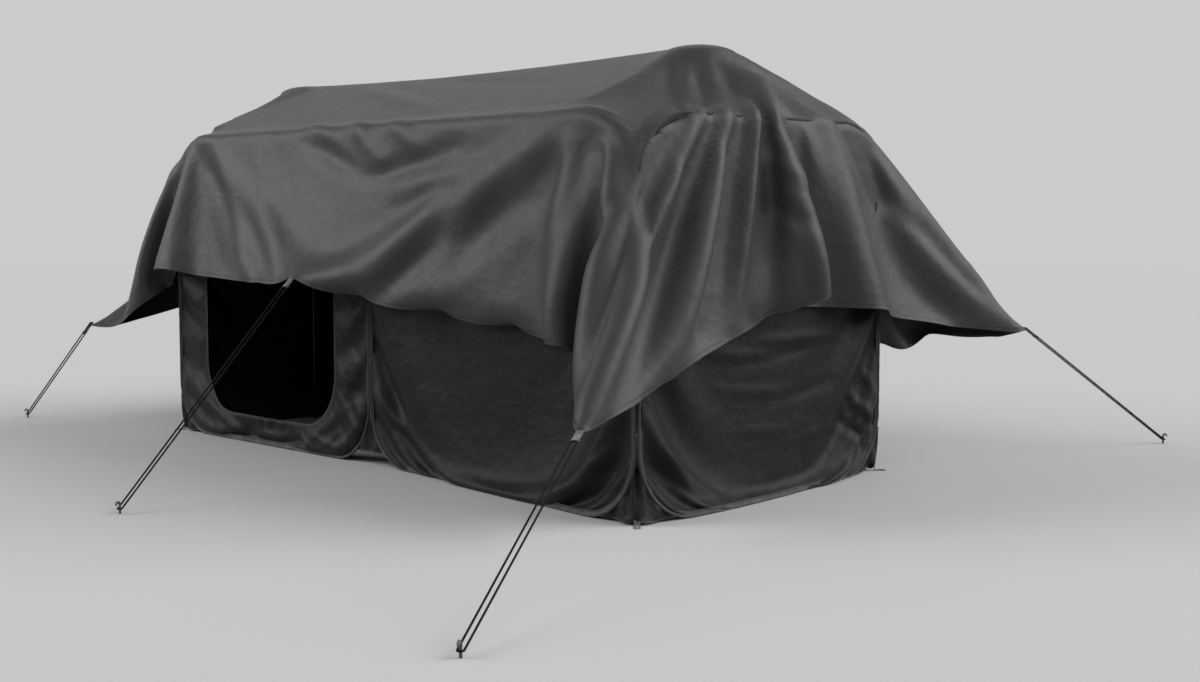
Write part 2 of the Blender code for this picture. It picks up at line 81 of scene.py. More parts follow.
@dataclass(frozen=True)
class TentForm:
    """Sizes of the standing tent body, the same as in the part's source.

    A field of points is an array whose first axis holds x, y and z, followed by the grid's own axes.
    """

    half_length: float = 1.65
    half_width: float = 0.75
    height: float = 1.50
    hoop_radius: float = 0.007
    hoop_corner: float = 0.26
    touch_gap: float = 0.0003
    kick_x: float = 0.17
    kick_y: float = -0.17
    kick_start: float = 0.15
    end_bow: float = 0.05

    def shift(self, points: Array) -> tuple[Array, Array]:
        """How far the standing tent has moved level at some points, because its near foot is pushed out.

        Args:
            points: a field of points.

        Returns:
            The moves along x and along y.
        """
        low = np.clip(1.0 - points[2] / self.height, 0.0, 1.0) ** 1.5
        near_x = ease((points[0] - self.kick_start) / (self.half_length - self.kick_start))
        near_y = ease((self.half_width - points[1]) / (2.0 * self.half_width))
        level = np.clip(points[1], -self.half_width, self.half_width) / self.half_width
        bow = self.end_bow * near_x * low * np.cos(0.5 * np.pi * level)
        push = near_x * near_y * low
        return self.kick_x * push + bow, self.kick_y * push

    def settle(self, points: Array) -> Array:
        """Move points of the ideal tent to where they stand.

        Args:
            points: a field of points.

        Returns:
            The moved points.
        """
        moved = points.copy()
        along_x, along_y = self.shift(points)
        moved[0] += along_x
        moved[1] += along_y
        return moved

    @property
    def end_step(self) -> float:
        """How far an end hoop stands beyond the long hoops' corner, and inside it."""
        return math.sqrt(0.5) * (2.0 * self.hoop_radius + self.touch_gap)


@dataclass
class TarpBed:
    """What the tarp lies on: the hooped walls, the two domed caps and the ridge between them."""

    form: TentForm
    caps: tuple[Place, ...]
    clearance: float = 0.012
    edge_round: float = 0.045
    wall_depth: float = 0.070
    cap_radius: float = 0.16
    cap_drop: float = 0.050
    ridge_sag: float = 0.025
    roof_slope: float = 0.42
    roof_reach: float = 0.60
    roof_push: float = 0.6
    ridge_round: float = 0.03
    least_height: float = 0.01

    def push_out(self, points: Array, before: Array, grip: float) -> None:
        """Lift a cloth's points off the tent, and hold back those that touch it.

        Args:
            points: the cloth's points, changed in place.
            before: where they were a step earlier, changed in place.
            grip: share of the slide along the tent that friction takes.
        """
        form = self.form
        shift_x, shift_y = form.shift(points)
        place = [points[0] - shift_x, points[1] - shift_y, points[2].copy()]
        touched = np.zeros(place[0].shape, bool)
        half = (form.half_length + form.hoop_radius, form.half_width + form.hoop_radius)
        for along, away in ((0, 1), (1, 0)):
            for sign in (-1.0, 1.0):
                touched |= self.push_off_wall(place, along, away, half[along], half[away], sign)
        points[0] = place[0] + shift_x
        points[1] = place[1] + shift_y
        points[2] = place[2]
        for cap_x, cap_top in self.caps:
            level = ((points[0] - cap_x) ** 2 + points[1] ** 2) / self.cap_radius**2
            floor = cap_top - self.cap_drop * (1.0 - np.sqrt(np.clip(1.0 - level, 0.0, 1.0)))
            under = (level < 1.0) & (points[2] < floor)
            points[2] = np.where(under, floor, points[2])
            touched |= under
        (left_x, left_top), (right_x, right_top) = self.caps
        share = np.clip((points[0] - left_x) / (right_x - left_x), 0.0, 1.0)
        line = left_top + (right_top - left_top) * share - 4.0 * self.ridge_sag * share * (1.0 - share)
        across = np.abs(points[1])
        floor = line - self.roof_slope * (np.sqrt(across**2 + self.ridge_round**2) - self.ridge_round)
        between = (points[0] > left_x) & (points[0] < right_x)
        under = (across < self.roof_reach) & (points[2] < floor) & between
        points[2] = np.where(under, points[2] + (floor - points[2]) * self.roof_push, points[2])
        before += (points - before) * (touched * grip)
        np.maximum(points[2], self.least_height, out=points[2])

    def push_off_wall(
        self, place: list[Array], along: int, away: int, half_along: float, half_away: float, sign: float
    ) -> Array:
        """Push points out of one wall's slab, over its hoop or straight away from it.

        Args:
            place: x, y and z in the ideal tent's frame, changed in place.
            along: the axis that runs along the wall.
            away: the axis across it.
            half_along: half the hoop's outer width.
            half_away: how far the wall's outside stands from the middle.
            sign: which side the wall is on.

        Returns:
            Which points touched it.
        """
        form = self.form
        outside = half_away + self.clearance - sign * place[away]
        radius = form.hoop_corner + form.hoop_radius + self.clearance
        side = np.abs(place[along]) - (half_along - form.hoop_radius - form.hoop_corner)
        rise = place[2] - (form.height - form.hoop_radius - form.hoop_corner)
        reach = np.maximum(np.sqrt(side * side + rise * rise), 1e-9)
        curve = (side > 0.0) & (rise > 0.0)
        top = rise > side
        inside = np.where(curve, radius - reach, np.where(top, radius - rise, radius - side))
        side_share = np.where(curve, side / reach, np.where(top, 0.0, 1.0))
        rise_share = np.where(curve, rise / reach, np.where(top, 1.0, 0.0))
        round_a = np.clip(self.edge_round - outside, 0.0, self.edge_round)
        round_b = np.clip(self.edge_round - inside, 0.0, self.edge_round)
        reach = np.maximum(np.hypot(round_a, round_b), 1e-9)
        rounded = (round_a > 0.0) & (round_b > 0.0)
        depth = np.where(rounded, self.edge_round - reach, np.minimum(outside, inside))
        hit = (outside > 0.0) & (inside > 0.0) & (outside < self.wall_depth) & (depth > 0.0)
        depth = np.where(hit, depth, 0.0)
        away_share = np.where(rounded, round_a / reach, outside <= inside)
        over_share = depth * np.where(rounded, round_b / reach, outside > inside)
        place[away] += depth * away_share * sign
        place[along] += over_share * side_share * np.sign(place[along])
        place[2] += over_share * rise_share
        return hit


@dataclass
class ClothGrid:
    """A woven sheet as a grid of points, each tied to its neighbours at the lengths it was cut to."""

    flat: Array
    shear: float = 0.5
    bend: float = 0.1
    ring: bool = False
    free: Array = field(init=False)
    ties: list[tuple] = field(init=False, default_factory=list)

    def __post_init__(self) -> None:
        """Start with every point free."""
        self.free = np.ones(self.flat.shape[1:], self.flat.dtype)

    def tie(self) -> None:
        """Work out every pair of neighbours, in groups where no point is in two pairs."""
        self.ties = []
        count_u, count_v = self.free.shape
        kinds = (
            (1, 0, 1.0, False),
            (0, 1, 1.0, False),
            (1, 1, self.shear, False),
            (1, -1, self.shear, False),
            (2, 0, self.bend, True),
            (0, 2, self.bend, True),
        )
        for step_u, step_v, stiffness, push_only in kinds:
            low, high = max(0, -step_v), max(0, step_v)
            step, count = (step_u, count_u) if step_u else (step_v, count_v)
            for phase in range(2 * max(step_u, step_v)):
                stepped = (slice(phase, count - step, 2 * step), slice(phase + step, count, 2 * step))
                if step_u:
                    a, b = zip(stepped, (slice(low, count_v - high), slice(high, count_v - low)))
                else:
                    a, b = zip((slice(0, count_u), slice(0, count_u)), stepped)
                if not self.free[a].size:
                    continue
                gap = self.flat[(slice(None), *b)] - self.flat[(slice(None), *a)]
                rest = np.sqrt((gap * gap).sum(axis=0))
                total = np.maximum(self.free[a] + self.free[b], TINY)
                pair = ((slice(None), *a), (slice(None), *b))
                shares = (self.free[a] / total, self.free[b] / total)
                self.ties.append((*pair, rest, stiffness, push_only, *shares))

    def relax(self, points: Array, rounds: int) -> None:
        """Pull and push the points towards the lengths that the sheet was cut to.

        Args:
            points: the sheet's points, changed in place.
            rounds: how many times every pair is visited.
        """
        for _ in range(rounds):
            for a, b, rest, stiffness, push_only, share_a, share_b in self.ties:
                gap = points[b] - points[a]
                length = np.sqrt(gap[0] * gap[0] + gap[1] * gap[1] + gap[2] * gap[2])
                pull = stiffness * (1.0 - rest / np.maximum(length, TINY))
                if push_only:
                    pull = np.minimum(pull, 0.0)
                points[a] += gap * (pull * share_a)
                points[b] -= gap * (pull * share_b)
            if self.ring:
                seam = 0.5 * (points[:, :, 0] + points[:, :, -1])
                points[:, :, 0] = seam
                points[:, :, -1] = seam

    def even_out(self, points: Array, strength: float) -> None:
        """Spread the bending out, as the coating on the cloth does, so that no kink is narrower than a fold.

        Args:
            points: the sheet's points, changed in place.
            strength: how much of each kink is taken away.
        """
        for axis in (1, 2):
            view = np.moveaxis(points, axis, 1)
            hold = np.moveaxis(self.free, axis - 1, 0)
            kink = np.zeros_like(view)
            kink[:, 1:-1] = view[:, 1:-1] - 0.5 * (view[:, :-2] + view[:, 2:])
            if self.ring and axis == 2:
                kink[:, 0] = kink[:, -1] = view[:, 0] - 0.5 * (view[:, 1] + view[:, -2])
            change = kink.copy()
            change[:, 1:-1] -= 0.5 * (kink[:, :-2] + kink[:, 2:])
            if self.ring and axis == 2:
                change[:, 0] -= 0.5 * (kink[:, 1] + kink[:, -2])
                change[:, -1] = change[:, 0]
            view -= strength * change * hold

    def nearest(self, place: Place) -> tuple[int, int]:
        """Find the grid point nearest to a place on the flat sheet.

        Args:
            place: the place on the cutting table.

        Returns:
            The point's two indices.
        """
        away = (self.flat[0] - place[0]) ** 2 + (self.flat[1] - place[1]) ** 2
        index = np.unravel_index(int(np.argmin(away)), away.shape)
        return int(index[0]), int(index[1])


def ease(value: Array) -> Array:
    """Ease values from 0 to 1, with those beyond set to 0 or 1."""
    share = np.clip(value, 0.0, 1.0)
    return share * share * (3.0 - 2.0 * share)


def halve_spacing(points: Array) -> Array:
    """Put a new point between every two, on a smooth curve through their neighbours.

    Args:
        points: a field on a grid.

    Returns:
        The field on a grid with half the spacing.
    """
    for axis in (1, 2):
        view = np.moveaxis(points, axis, 1)
        finer = np.zeros((view.shape[0], 2 * view.shape[1] - 1, view.shape[2]), view.dtype)
        finer[:, ::2] = view
        finer[:, 1::2] = 0.5 * (view[:, 1:] + view[:, :-1])
        if view.shape[1] > 3:
            near, far = view[:, 1:-2] + view[:, 2:-1], view[:, :-3] + view[:, 3:]
            finer[:, 3:-3:2] = 0.5625 * near - 0.0625 * far
        points = np.moveaxis(finer, 1, axis)
    return np.ascontiguousarray(points)


@dataclass(frozen=True)
class DrapeStage:
    """One stage of a cloth's settling: how fine, how long and how stiff."""

    steps: int
    rounds: int
    gravity: float
    stiffness: float
    guide_pull: float
    ramp: int = 0
    jitter: float = 0.0


@dataclass
class DrapedSheet:
    """Settles a sheet of cloth that is held at some points and guided at others."""

    held: dict[str, tuple[Place, Point]]
    guides: dict[str, tuple[Place, Point]]
    bed: TarpBed
    seed: int
    drag: float = 0.93
    grip: float = 0.3
    give: float = 1.003
    play: float = 0.002

    def settle(self, cloth: ClothGrid, points: Array, stage: DrapeStage, nudge: "Nudge | None") -> None:
        """Let the sheet come to rest at one spacing.

        Args:
            cloth: the sheet as it was cut.
            points: where its points are, changed in place.
            stage: how long and how stiff.
            nudge: an extra move for some points in each step, or None.
        """
        draw = np.random.default_rng(self.seed)
        points += draw.normal(0.0, max(stage.jitter, 1e-9), points.shape).astype(points.dtype)
        pins = [(cloth.nearest(place), np.array(at, points.dtype)) for place, at in self.held.values()]
        guides = [(cloth.nearest(place), np.array(at, points.dtype)) for place, at in self.guides.values()]
        for index, _ in pins:
            cloth.free[index] = 0.0
        cloth.tie()
        starts = [points[:, index[0], index[1]].copy() for index, _ in pins]
        reaches = []
        for (row, col), _ in pins:
            gap = cloth.flat - cloth.flat[:, row, col][:, None, None]
            reaches.append(np.sqrt((gap * gap).sum(axis=0)) * self.give + self.play)
        before = points.copy()
        for step in range(stage.steps):
            share = float(ease(np.array((step + 1) / stage.ramp))) if stage.ramp else 1.0
            for ((row, col), at), start in zip(pins, starts):
                points[:, row, col] = start + (at - start) * share
                before[:, row, col] = points[:, row, col]
            moved = points + (points - before) * (self.drag * cloth.free)
            moved[2] -= stage.gravity * cloth.free
            if nudge is not None:
                moved += nudge.move(points) * cloth.free
            before[:] = points
            points[:] = moved
            for ((row, col), _), reach in zip(pins, reaches):
                pin = points[:, row, col].copy()[:, None, None]
                gap = points - pin
                length = np.sqrt((gap * gap).sum(axis=0))
                points[:] = pin + gap * np.minimum(reach / np.maximum(length, TINY), 1.0)
            for (row, col), at in guides:
                points[:, row, col] += (at - points[:, row, col]) * stage.guide_pull
            for _ in range(stage.rounds // 4):
                cloth.relax(points, 4)
                cloth.even_out(points, stage.stiffness)
            self.bed.push_out(points, before, self.grip)


@dataclass(frozen=True)
class Nudge:
    """A small steady push on the cloth inside a box."""

    low: Point
    high: Point
    push: Point

    def move(self, points: Array) -> Array:
        """The push on each point.

        Args:
            points: a field of points.

        Returns:
            A field of moves.
        """
        inside = np.ones(points.shape[1:], bool)
        for axis in range(3):
            inside &= (points[axis] > self.low[axis]) & (points[axis] < self.high[axis])
        return np.array(self.push, points.dtype)[:, None, None] * inside


class Slot(Enum):
    """The material slots of the tent's pieces."""

    TENT_CLOTH = "tent_cloth"
    TARP_CLOTH = "tarp_cloth"
    SLEEVE = "sleeve"
    WEBBING = "webbing"
    CORD = "cord"
    PEG_PLASTIC = "peg_plastic"
    POLE_METAL = "pole_metal"


class Wiring:
    """Adds nodes to a shader or geometry tree and joins them."""

    def __init__(self, tree: Tree) -> None:
        """Work on one tree."""
        self.tree = tree

    def add(self, kind: str, inputs: dict | None = None, **settings: object) -> bpy.types.Node:
        """Add a node.

        Args:
            kind: the node's type.
            inputs: values, or sockets to join, by the input's name or place.
            settings: the node's own properties.

        Returns:
            The new node.
        """
        node = self.tree.nodes.new(kind)
        for name, value in settings.items():
            setattr(node, name, value)
        for name, value in (inputs or {}).items():
            self.feed(node.inputs[name], value)
        return node

    def feed(self, socket: Socket, value: object) -> None:
        """Join a socket to an input, or set the input's value."""
        if isinstance(value, Socket):
            self.tree.links.new(value, socket)
        else:
            socket.default_value = value

    def math(self, operation: str, *values: object) -> Socket:
        """Add a Math node and give its result.

        Args:
            operation: what it works out.
            values: its inputs, as numbers or sockets.

        Returns:
            The result's socket.
        """
        node = self.add("ShaderNodeMath", operation=operation)
        for socket, value in zip(node.inputs, values):
            self.feed(socket, value)
        return node.outputs[0]

    def times(self, first: object, second: object) -> Socket:
        """Multiply two values."""
        return self.math("MULTIPLY", first, second)

    def rest(self, value: object) -> Socket:
        """What a value leaves of 1."""
        return self.math("SUBTRACT", 1.0, value)

    def plus(self, first: object, *others: object) -> Socket:
        """Add values up.

        Args:
            first: the first value.
            others: what is added to it.

        Returns:
            The sum's socket.
        """
        for other in others:
            first = self.math("ADD", first, other)
        return first

    def noise(self, vector: Socket, scale: float, detail: float, roughness: float = 0.5) -> Socket:
        """Add a Noise Texture and give its value.

        Args:
            vector: where the pattern is read.
            scale: features for each metre.
            detail: how many finer layers it has.
            roughness: how strong the finer layers are.

        Returns:
            The value's socket.
        """
        values = {"Vector": vector, "Scale": scale, "Detail": detail, "Roughness": roughness}
        return self.add("ShaderNodeTexNoise", values).outputs["Fac"]

    def mix(self, share: Socket, dark: Colour | Socket, light: Colour | Socket) -> Socket:
        """Mix two colours.

        Args:
            share: how much of the second there is.
            dark: the first colour.
            light: the second colour.

        Returns:
            The mixed colour's socket.
        """
        node = self.add("ShaderNodeMix", data_type="RGBA")
        self.feed(node.inputs[0], share)
        for socket, value in ((node.inputs[6], dark), (node.inputs[7], light)):
            self.feed(socket, (*value, 1.0) if isinstance(value, tuple) else value)
        return node.outputs[2]


def open_group(name: str, values: dict[str, float], output: str) -> tuple[Wiring, Sockets, Socket]:
    """Start a shader node group that reads a vector and gives one plain value.

    Args:
        name: the group's name.
        values: its other inputs, with their values unless a material sets them.
        output: the name of what it gives.

    Returns:
        The group's wiring, its inputs, and the socket that its result goes to.
    """
    tree = bpy.data.node_groups.new(name, "ShaderNodeTree")
    tree.interface.new_socket("Vector", in_out="INPUT", socket_type="NodeSocketVector")
    for label, value in values.items():
        tree.interface.new_socket(label, in_out="INPUT", socket_type="NodeSocketFloat").default_value = value
    tree.interface.new_socket(output, in_out="OUTPUT", socket_type="NodeSocketFloat")
    wiring = Wiring(tree)
    return wiring, wiring.add("NodeGroupInput").outputs, wiring.add("NodeGroupOutput").inputs[0]


@cache
def weave_group() -> Tree:
    """Build the plain weave: threads that pass over and under each other.

    Returns:
        The node group, with the threads' height.
    """
    wiring, given, height = open_group("plain_weave", {"Pitch": 0.001}, "Height")
    split = wiring.add("ShaderNodeSeparateXYZ", {"Vector": given["Vector"]})
    scale = wiring.math("DIVIDE", 1.0, given["Pitch"])
    threads = []
    for axis in ("X", "Y"):
        turns = wiring.times(wiring.times(split.outputs[axis], scale), math.pi)
        threads.append(wiring.math("ABSOLUTE", wiring.math("SINE", turns)))
    checker = wiring.add("ShaderNodeTexChecker", {"Vector": given["Vector"], "Scale": scale}).outputs["Fac"]
    under = wiring.times(threads[1], wiring.rest(checker))
    wiring.feed(height, wiring.plus(wiring.times(threads[0], checker), under))
    return wiring.tree


@cache
def crumple_group() -> Tree:
    """Build the small flat facets and soft ridges that coated cloth keeps once it has been bundled up.

    Returns:
        The node group, with the ridges' height.
    """
    wiring, given, height = open_group("crumple", {"Size": 0.12, "Seed": 0.0}, "Height")
    scale = wiring.math("DIVIDE", 1.0, given["Size"])
    moved = wiring.add("ShaderNodeCombineXYZ", {"Z": given["Seed"]}).outputs[0]
    place = wiring.add("ShaderNodeVectorMath", {0: given["Vector"], 1: moved}, operation="ADD").outputs[0]
    bent = wiring.add("ShaderNodeTexNoise", {"Vector": place, "Scale": wiring.times(scale, 0.6)})
    shift = wiring.add("ShaderNodeVectorMath", {0: bent.outputs["Color"], "Scale": 0.06}, operation="SCALE")
    where = wiring.add("ShaderNodeVectorMath", {0: place, 1: shift.outputs[0]}, operation="ADD").outputs[0]
    layers = []
    for step, weight in ((1.0, 0.65), (2.7, 0.35)):
        cells = wiring.add("ShaderNodeTexVoronoi", {"Vector": where, "Scale": wiring.times(scale, step)})
        layers.append(wiring.times(cells.outputs["Distance"], weight))
    wiring.feed(height, wiring.plus(*layers))
    return wiring.tree


@cache
def fold_line_group() -> Tree:
    """Build the straight creases left where the cloth was folded for its bag.

    Returns:
        The node group, with the creases' height.
    """
    values = {"Spacing X": 0.6, "Spacing Y": 0.4, "Width": 0.006}
    wiring, given, height = open_group("fold_lines", values, "Height")
    split = wiring.add("ShaderNodeSeparateXYZ", {"Vector": given["Vector"]})
    wander = wiring.times(wiring.noise(given["Vector"], 2.5, 2.0), 0.02)
    lines = []
    for axis in ("X", "Y"):
        place = wiring.plus(split.outputs[axis], wander)
        away = wiring.math("PINGPONG", place, wiring.times(given[f"Spacing {axis}"], 0.5))
        lines.append(wiring.rest(wiring.math("MINIMUM", wiring.math("DIVIDE", away, given["Width"]), 1.0)))
    fade = wiring.math("MINIMUM", wiring.times(wiring.noise(given["Vector"], 1.3, 1.0), 1.4), 1.0)
    wiring.feed(height, wiring.times(wiring.math("MAXIMUM", *lines), fade))
    return wiring.tree


@cache
def dust_group() -> Tree:
    """Build the dust and dried splashes that gather near the ground and in patches.

    Returns:
        The node group, with a mask.
    """
    wiring, given, mask = open_group("ground_dust", {"Reach": 0.25, "Patches": 0.15}, "Mask")
    split = wiring.add("ShaderNodeSeparateXYZ", {"Vector": given["Vector"]})
    low = wiring.math("MAXIMUM", wiring.rest(wiring.math("DIVIDE", split.outputs["Z"], given["Reach"])), 0.0)
    spots = wiring.noise(given["Vector"], 9.0, 5.0, 0.65)
    speckle = wiring.times(wiring.math("POWER", spots, 3.0), 3.0)
    spread = wiring.plus(low, wiring.times(wiring.noise(given["Vector"], 1.7, 3.0), given["Patches"]))
    dust = wiring.math("MAXIMUM", wiring.times(speckle, spread), 0.0)
    wiring.feed(mask, wiring.math("MINIMUM", dust, 1.0))
    return wiring.tree


class Surface:
    """One material while it is made: its wiring, its Principled shader and its patterns."""

    def __init__(self, name: str, roughness: float, **levels: float) -> None:
        """Start the material.

        Args:
            name: the material's name.
            roughness: its roughness before any pattern.
            levels: other plain inputs of the shader, such as metallic.
        """
        self.material = bpy.data.materials.new(name)
        self.material.use_nodes = True
        self.wiring = Wiring(self.material.node_tree)
        self.shader = self.material.node_tree.nodes["Principled BSDF"].inputs
        labels = {"metallic": "Metallic", "specular": "Specular IOR Level", "sheen": "Sheen Weight"}
        self.shader["Roughness"].default_value = roughness
        for level, value in levels.items():
            self.shader[labels[level]].default_value = value

    def cut(self) -> Socket:
        """Places on the flat pattern."""
        return self.wiring.add("ShaderNodeUVMap", uv_map=CUT_MAP).outputs["UV"]

    def place(self) -> Socket:
        """Places in the piece's own frame."""
        return self.wiring.add("ShaderNodeTexCoord").outputs["Object"]

    def pattern(self, maker: Callable[[], Tree], vector: Socket, values: dict[str, float]) -> Socket:
        """Put in the node group that a function makes, and give its result."""
        inputs = {"Vector": vector, **values}
        return self.wiring.add("ShaderNodeGroup", inputs, node_tree=maker()).outputs[0]

    def dust(self, reach: float, patches: float, strength: float) -> Socket:
        """How dusty each place is: up to a reach above the ground, and in patches further up."""
        mask = self.pattern(dust_group, self.place(), {"Reach": reach, "Patches": patches})
        return self.wiring.times(mask, strength)

    def finish(self, colour: Socket, roughness: Socket | None = None, height: Socket | None = None,
               strength: float = 1.0, distance: float = 1.0) -> Material:
        """Join the patterns to the shader.

        Args:
            colour: the base colour.
            roughness: the roughness, or None where it is even.
            height: the height of the relief, or None where it is flat.
            strength: how strongly the relief shows.
            distance: how high a height of 1 stands.

        Returns:
            The material.
        """
        self.wiring.feed(self.shader["Base Color"], colour)
        if roughness is not None:
            self.wiring.feed(self.shader["Roughness"], roughness)
        if height is not None:
            relief = {"Height": height, "Strength": strength, "Distance": distance}
            bump = self.wiring.add("ShaderNodeBump", relief)
            self.wiring.feed(self.shader["Normal"], bump.outputs["Normal"])
        return self.material


@dataclass(frozen=True)
class CoatedCloth:
    """Woven polyester with a satin coating, creased from its bag and a little dusty."""

    name: str
    colour: Colour
    light_colour: Colour
    roughness: float
    specular: float
    crumple_height: float
    dust_strength: float
    seed: float
    sheen: float = 0.02
    thread: float = 0.0009
    crumple_size: float = 0.10
    fold_x: float = 0.62
    fold_y: float = 0.43
    fold_height: float = 0.0005
    dust_reach: float = 0.20
    dust_colour: Colour = (0.20, 0.195, 0.185)

    def material(self) -> Material:
        """Build the cloth's material, read from its cut pattern and its place.

        Returns:
            The material.
        """
        surface = Surface(self.name, self.roughness, specular=self.specular, sheen=self.sheen)
        wiring, cut = surface.wiring, surface.cut()
        weave = surface.pattern(weave_group, cut, {"Pitch": self.thread})
        crumple = surface.pattern(crumple_group, cut, {"Size": self.crumple_size, "Seed": self.seed})
        folds = surface.pattern(fold_line_group, cut, {"Spacing X": self.fold_x, "Spacing Y": self.fold_y})
        dusty = surface.dust(self.dust_reach, 0.12, self.dust_strength)
        colour = wiring.mix(wiring.noise(cut, 3.0, 4.0, 0.6), self.colour, self.light_colour)
        worn = wiring.times(wiring.noise(cut, 14.0, 4.0), 0.12)
        rough = wiring.plus(self.roughness - 0.06, worn, wiring.times(dusty, 0.5))
        layers = ((weave, self.thread * 0.12), (crumple, self.crumple_height), (folds, self.fold_height))
        height = wiring.plus(*[wiring.times(layer, depth) for layer, depth in layers])
        return surface.finish(wiring.mix(dusty, colour, self.dust_colour), rough, height)


@dataclass(frozen=True)
class WovenTape:
    """Woven binding tape or webbing: a coarse weave that follows the strip."""

    name: str
    colour: Colour
    light_colour: Colour
    roughness: float = 0.62
    thread: float = 0.0016
    relief: float = 0.35
    specular: float = 0.35
    sheen: float = 0.15
    dust_colour: Colour = (0.22, 0.21, 0.20)

    def material(self) -> Material:
        """Build the tape's material, read from the strip's own map.

        Returns:
            The material.
        """
        surface = Surface(self.name, self.roughness, specular=self.specular, sheen=self.sheen)
        wiring, cut = surface.wiring, surface.cut()
        weave = surface.pattern(weave_group, cut, {"Pitch": self.thread})
        dusty = surface.dust(0.15, 0.10, 0.4)
        tone = wiring.times(weave, wiring.noise(cut, 30.0, 3.0))
        colour = wiring.mix(dusty, wiring.mix(tone, self.colour, self.light_colour), self.dust_colour)
        rough = wiring.plus(self.roughness, wiring.times(dusty, 0.3))
        return surface.finish(colour, rough, wiring.times(weave, self.thread * self.relief))


@dataclass(frozen=True)
class BraidedCord:
    """Braided cord: two sets of yarns that cross on the slant round it."""

    name: str
    colour: Colour
    light_colour: Colour
    yarn: float = 0.0022
    slant: float = 45.0

    def material(self) -> Material:
        """Build the cord's material, read from its own map: along it and round it.

        Returns:
            The material.
        """
        surface = Surface(self.name, 0.7, specular=0.06)
        wiring = surface.wiring
        turn = (0.0, 0.0, math.radians(self.slant))
        turned = wiring.add("ShaderNodeMapping", {"Vector": surface.cut(), "Rotation": turn})
        weave = surface.pattern(weave_group, turned.outputs[0], {"Pitch": self.yarn})
        colour = wiring.mix(weave, self.colour, self.light_colour)
        return surface.finish(colour, height=wiring.times(weave, self.yarn * 0.3))


@dataclass(frozen=True)
class MouldedPlastic:
    """Tough moulded plastic with a fine spark texture, rubbed paler in patches."""

    name: str
    colour: Colour
    rubbed: Colour = (0.05, 0.05, 0.05)
    dust_colour: Colour = (0.2, 0.19, 0.18)

    def material(self) -> Material:
        """Build the plastic's material.

        Returns:
            The material.
        """
        surface = Surface(self.name, 0.48)
        wiring, place = surface.wiring, surface.place()
        grain = wiring.noise(place, 900.0, 3.0)
        colour = wiring.mix(wiring.noise(place, 40.0, 4.0), self.colour, self.rubbed)
        colour = wiring.mix(surface.dust(0.08, 0.3, 0.3), colour, self.dust_colour)
        return surface.finish(colour, wiring.plus(0.40, wiring.times(grain, 0.2)), grain, 0.25, 0.0004)


@dataclass(frozen=True)
class DrawnTube:
    """Drawn aluminium tube with faint lines along it and dull patches of handling."""

    name: str
    colour: Colour

    def material(self) -> Material:
        """Build the metal's material.

        Returns:
            The material.
        """
        surface = Surface(self.name, 0.32, metallic=1.0)
        wiring, place = surface.wiring, surface.place()
        drawn = wiring.add("ShaderNodeMapping", {"Vector": place, "Scale": (900.0, 900.0, 6.0)})
        lines = wiring.noise(drawn.outputs[0], 1.0, 2.0)
        touch = wiring.noise(place, 6.0, 4.0, 0.6)
        colour = wiring.mix(touch, self.colour, tuple(0.7 * value for value in self.colour))
        return surface.finish(colour, wiring.plus(0.22, wiring.times(touch, 0.25)), lines, 0.15, 0.0003)


@dataclass(frozen=True)
class StudioPaint:
    """Plain pale matt paint for the studio's floor."""

    name: str
    colour: Colour

    def material(self) -> Material:
        """Build the paint's material.

        Returns:
            The material.
        """
        surface = Surface(self.name, 0.85, specular=0.2)
        darker = tuple(0.97 * value for value in self.colour)
        tone = surface.wiring.noise(surface.place(), 0.8, 2.0)
        return surface.finish(surface.wiring.mix(tone, darker, self.colour))


@dataclass
class Finishes:
    """Every material of the tent, made once."""

    made: dict[Slot, Material] = field(default_factory=dict)

    def __post_init__(self) -> None:
        """Make the materials."""
        recipes = {
            Slot.TENT_CLOTH: CoatedCloth("tent_cloth", (0.004, 0.004, 0.004), (0.008, 0.008, 0.008),
                                         0.40, 0.07, crumple_height=0.0045, dust_strength=0.07, seed=3.0),
            Slot.TARP_CLOTH: CoatedCloth("tarp_cloth", (0.021, 0.021, 0.0215), (0.031, 0.031, 0.032),
                                         0.41, 0.17, crumple_height=0.0035, dust_strength=0.06, seed=11.0),
            Slot.SLEEVE: WovenTape("sleeve_tape", (0.010, 0.010, 0.010), (0.028, 0.028, 0.029),
                                   specular=0.25, sheen=0.05),
            Slot.WEBBING: WovenTape("webbing", (0.060, 0.060, 0.062), (0.150, 0.150, 0.152),
                                    0.7, 0.0022, 0.45),
            Slot.CORD: BraidedCord("braided_cord", (0.003, 0.003, 0.003), (0.009, 0.009, 0.009)),
            Slot.PEG_PLASTIC: MouldedPlastic("peg_plastic", (0.008, 0.008, 0.008)),
            Slot.POLE_METAL: DrawnTube("pole_metal", (0.030, 0.030, 0.031)),
        }
        for slot, recipe in recipes.items():
            self.made[slot] = recipe.material()


def put_in_scene(name: str, data: bpy.types.ID) -> Piece:
    """Make an object of a mesh, a lamp or a camera.

    Args:
        name: the object's name.
        data: what it shows.

    Returns:
        The new object.
    """
    piece = bpy.data.objects.new(name, data)
    bpy.context.scene.collection.objects.link(piece)
    return piece


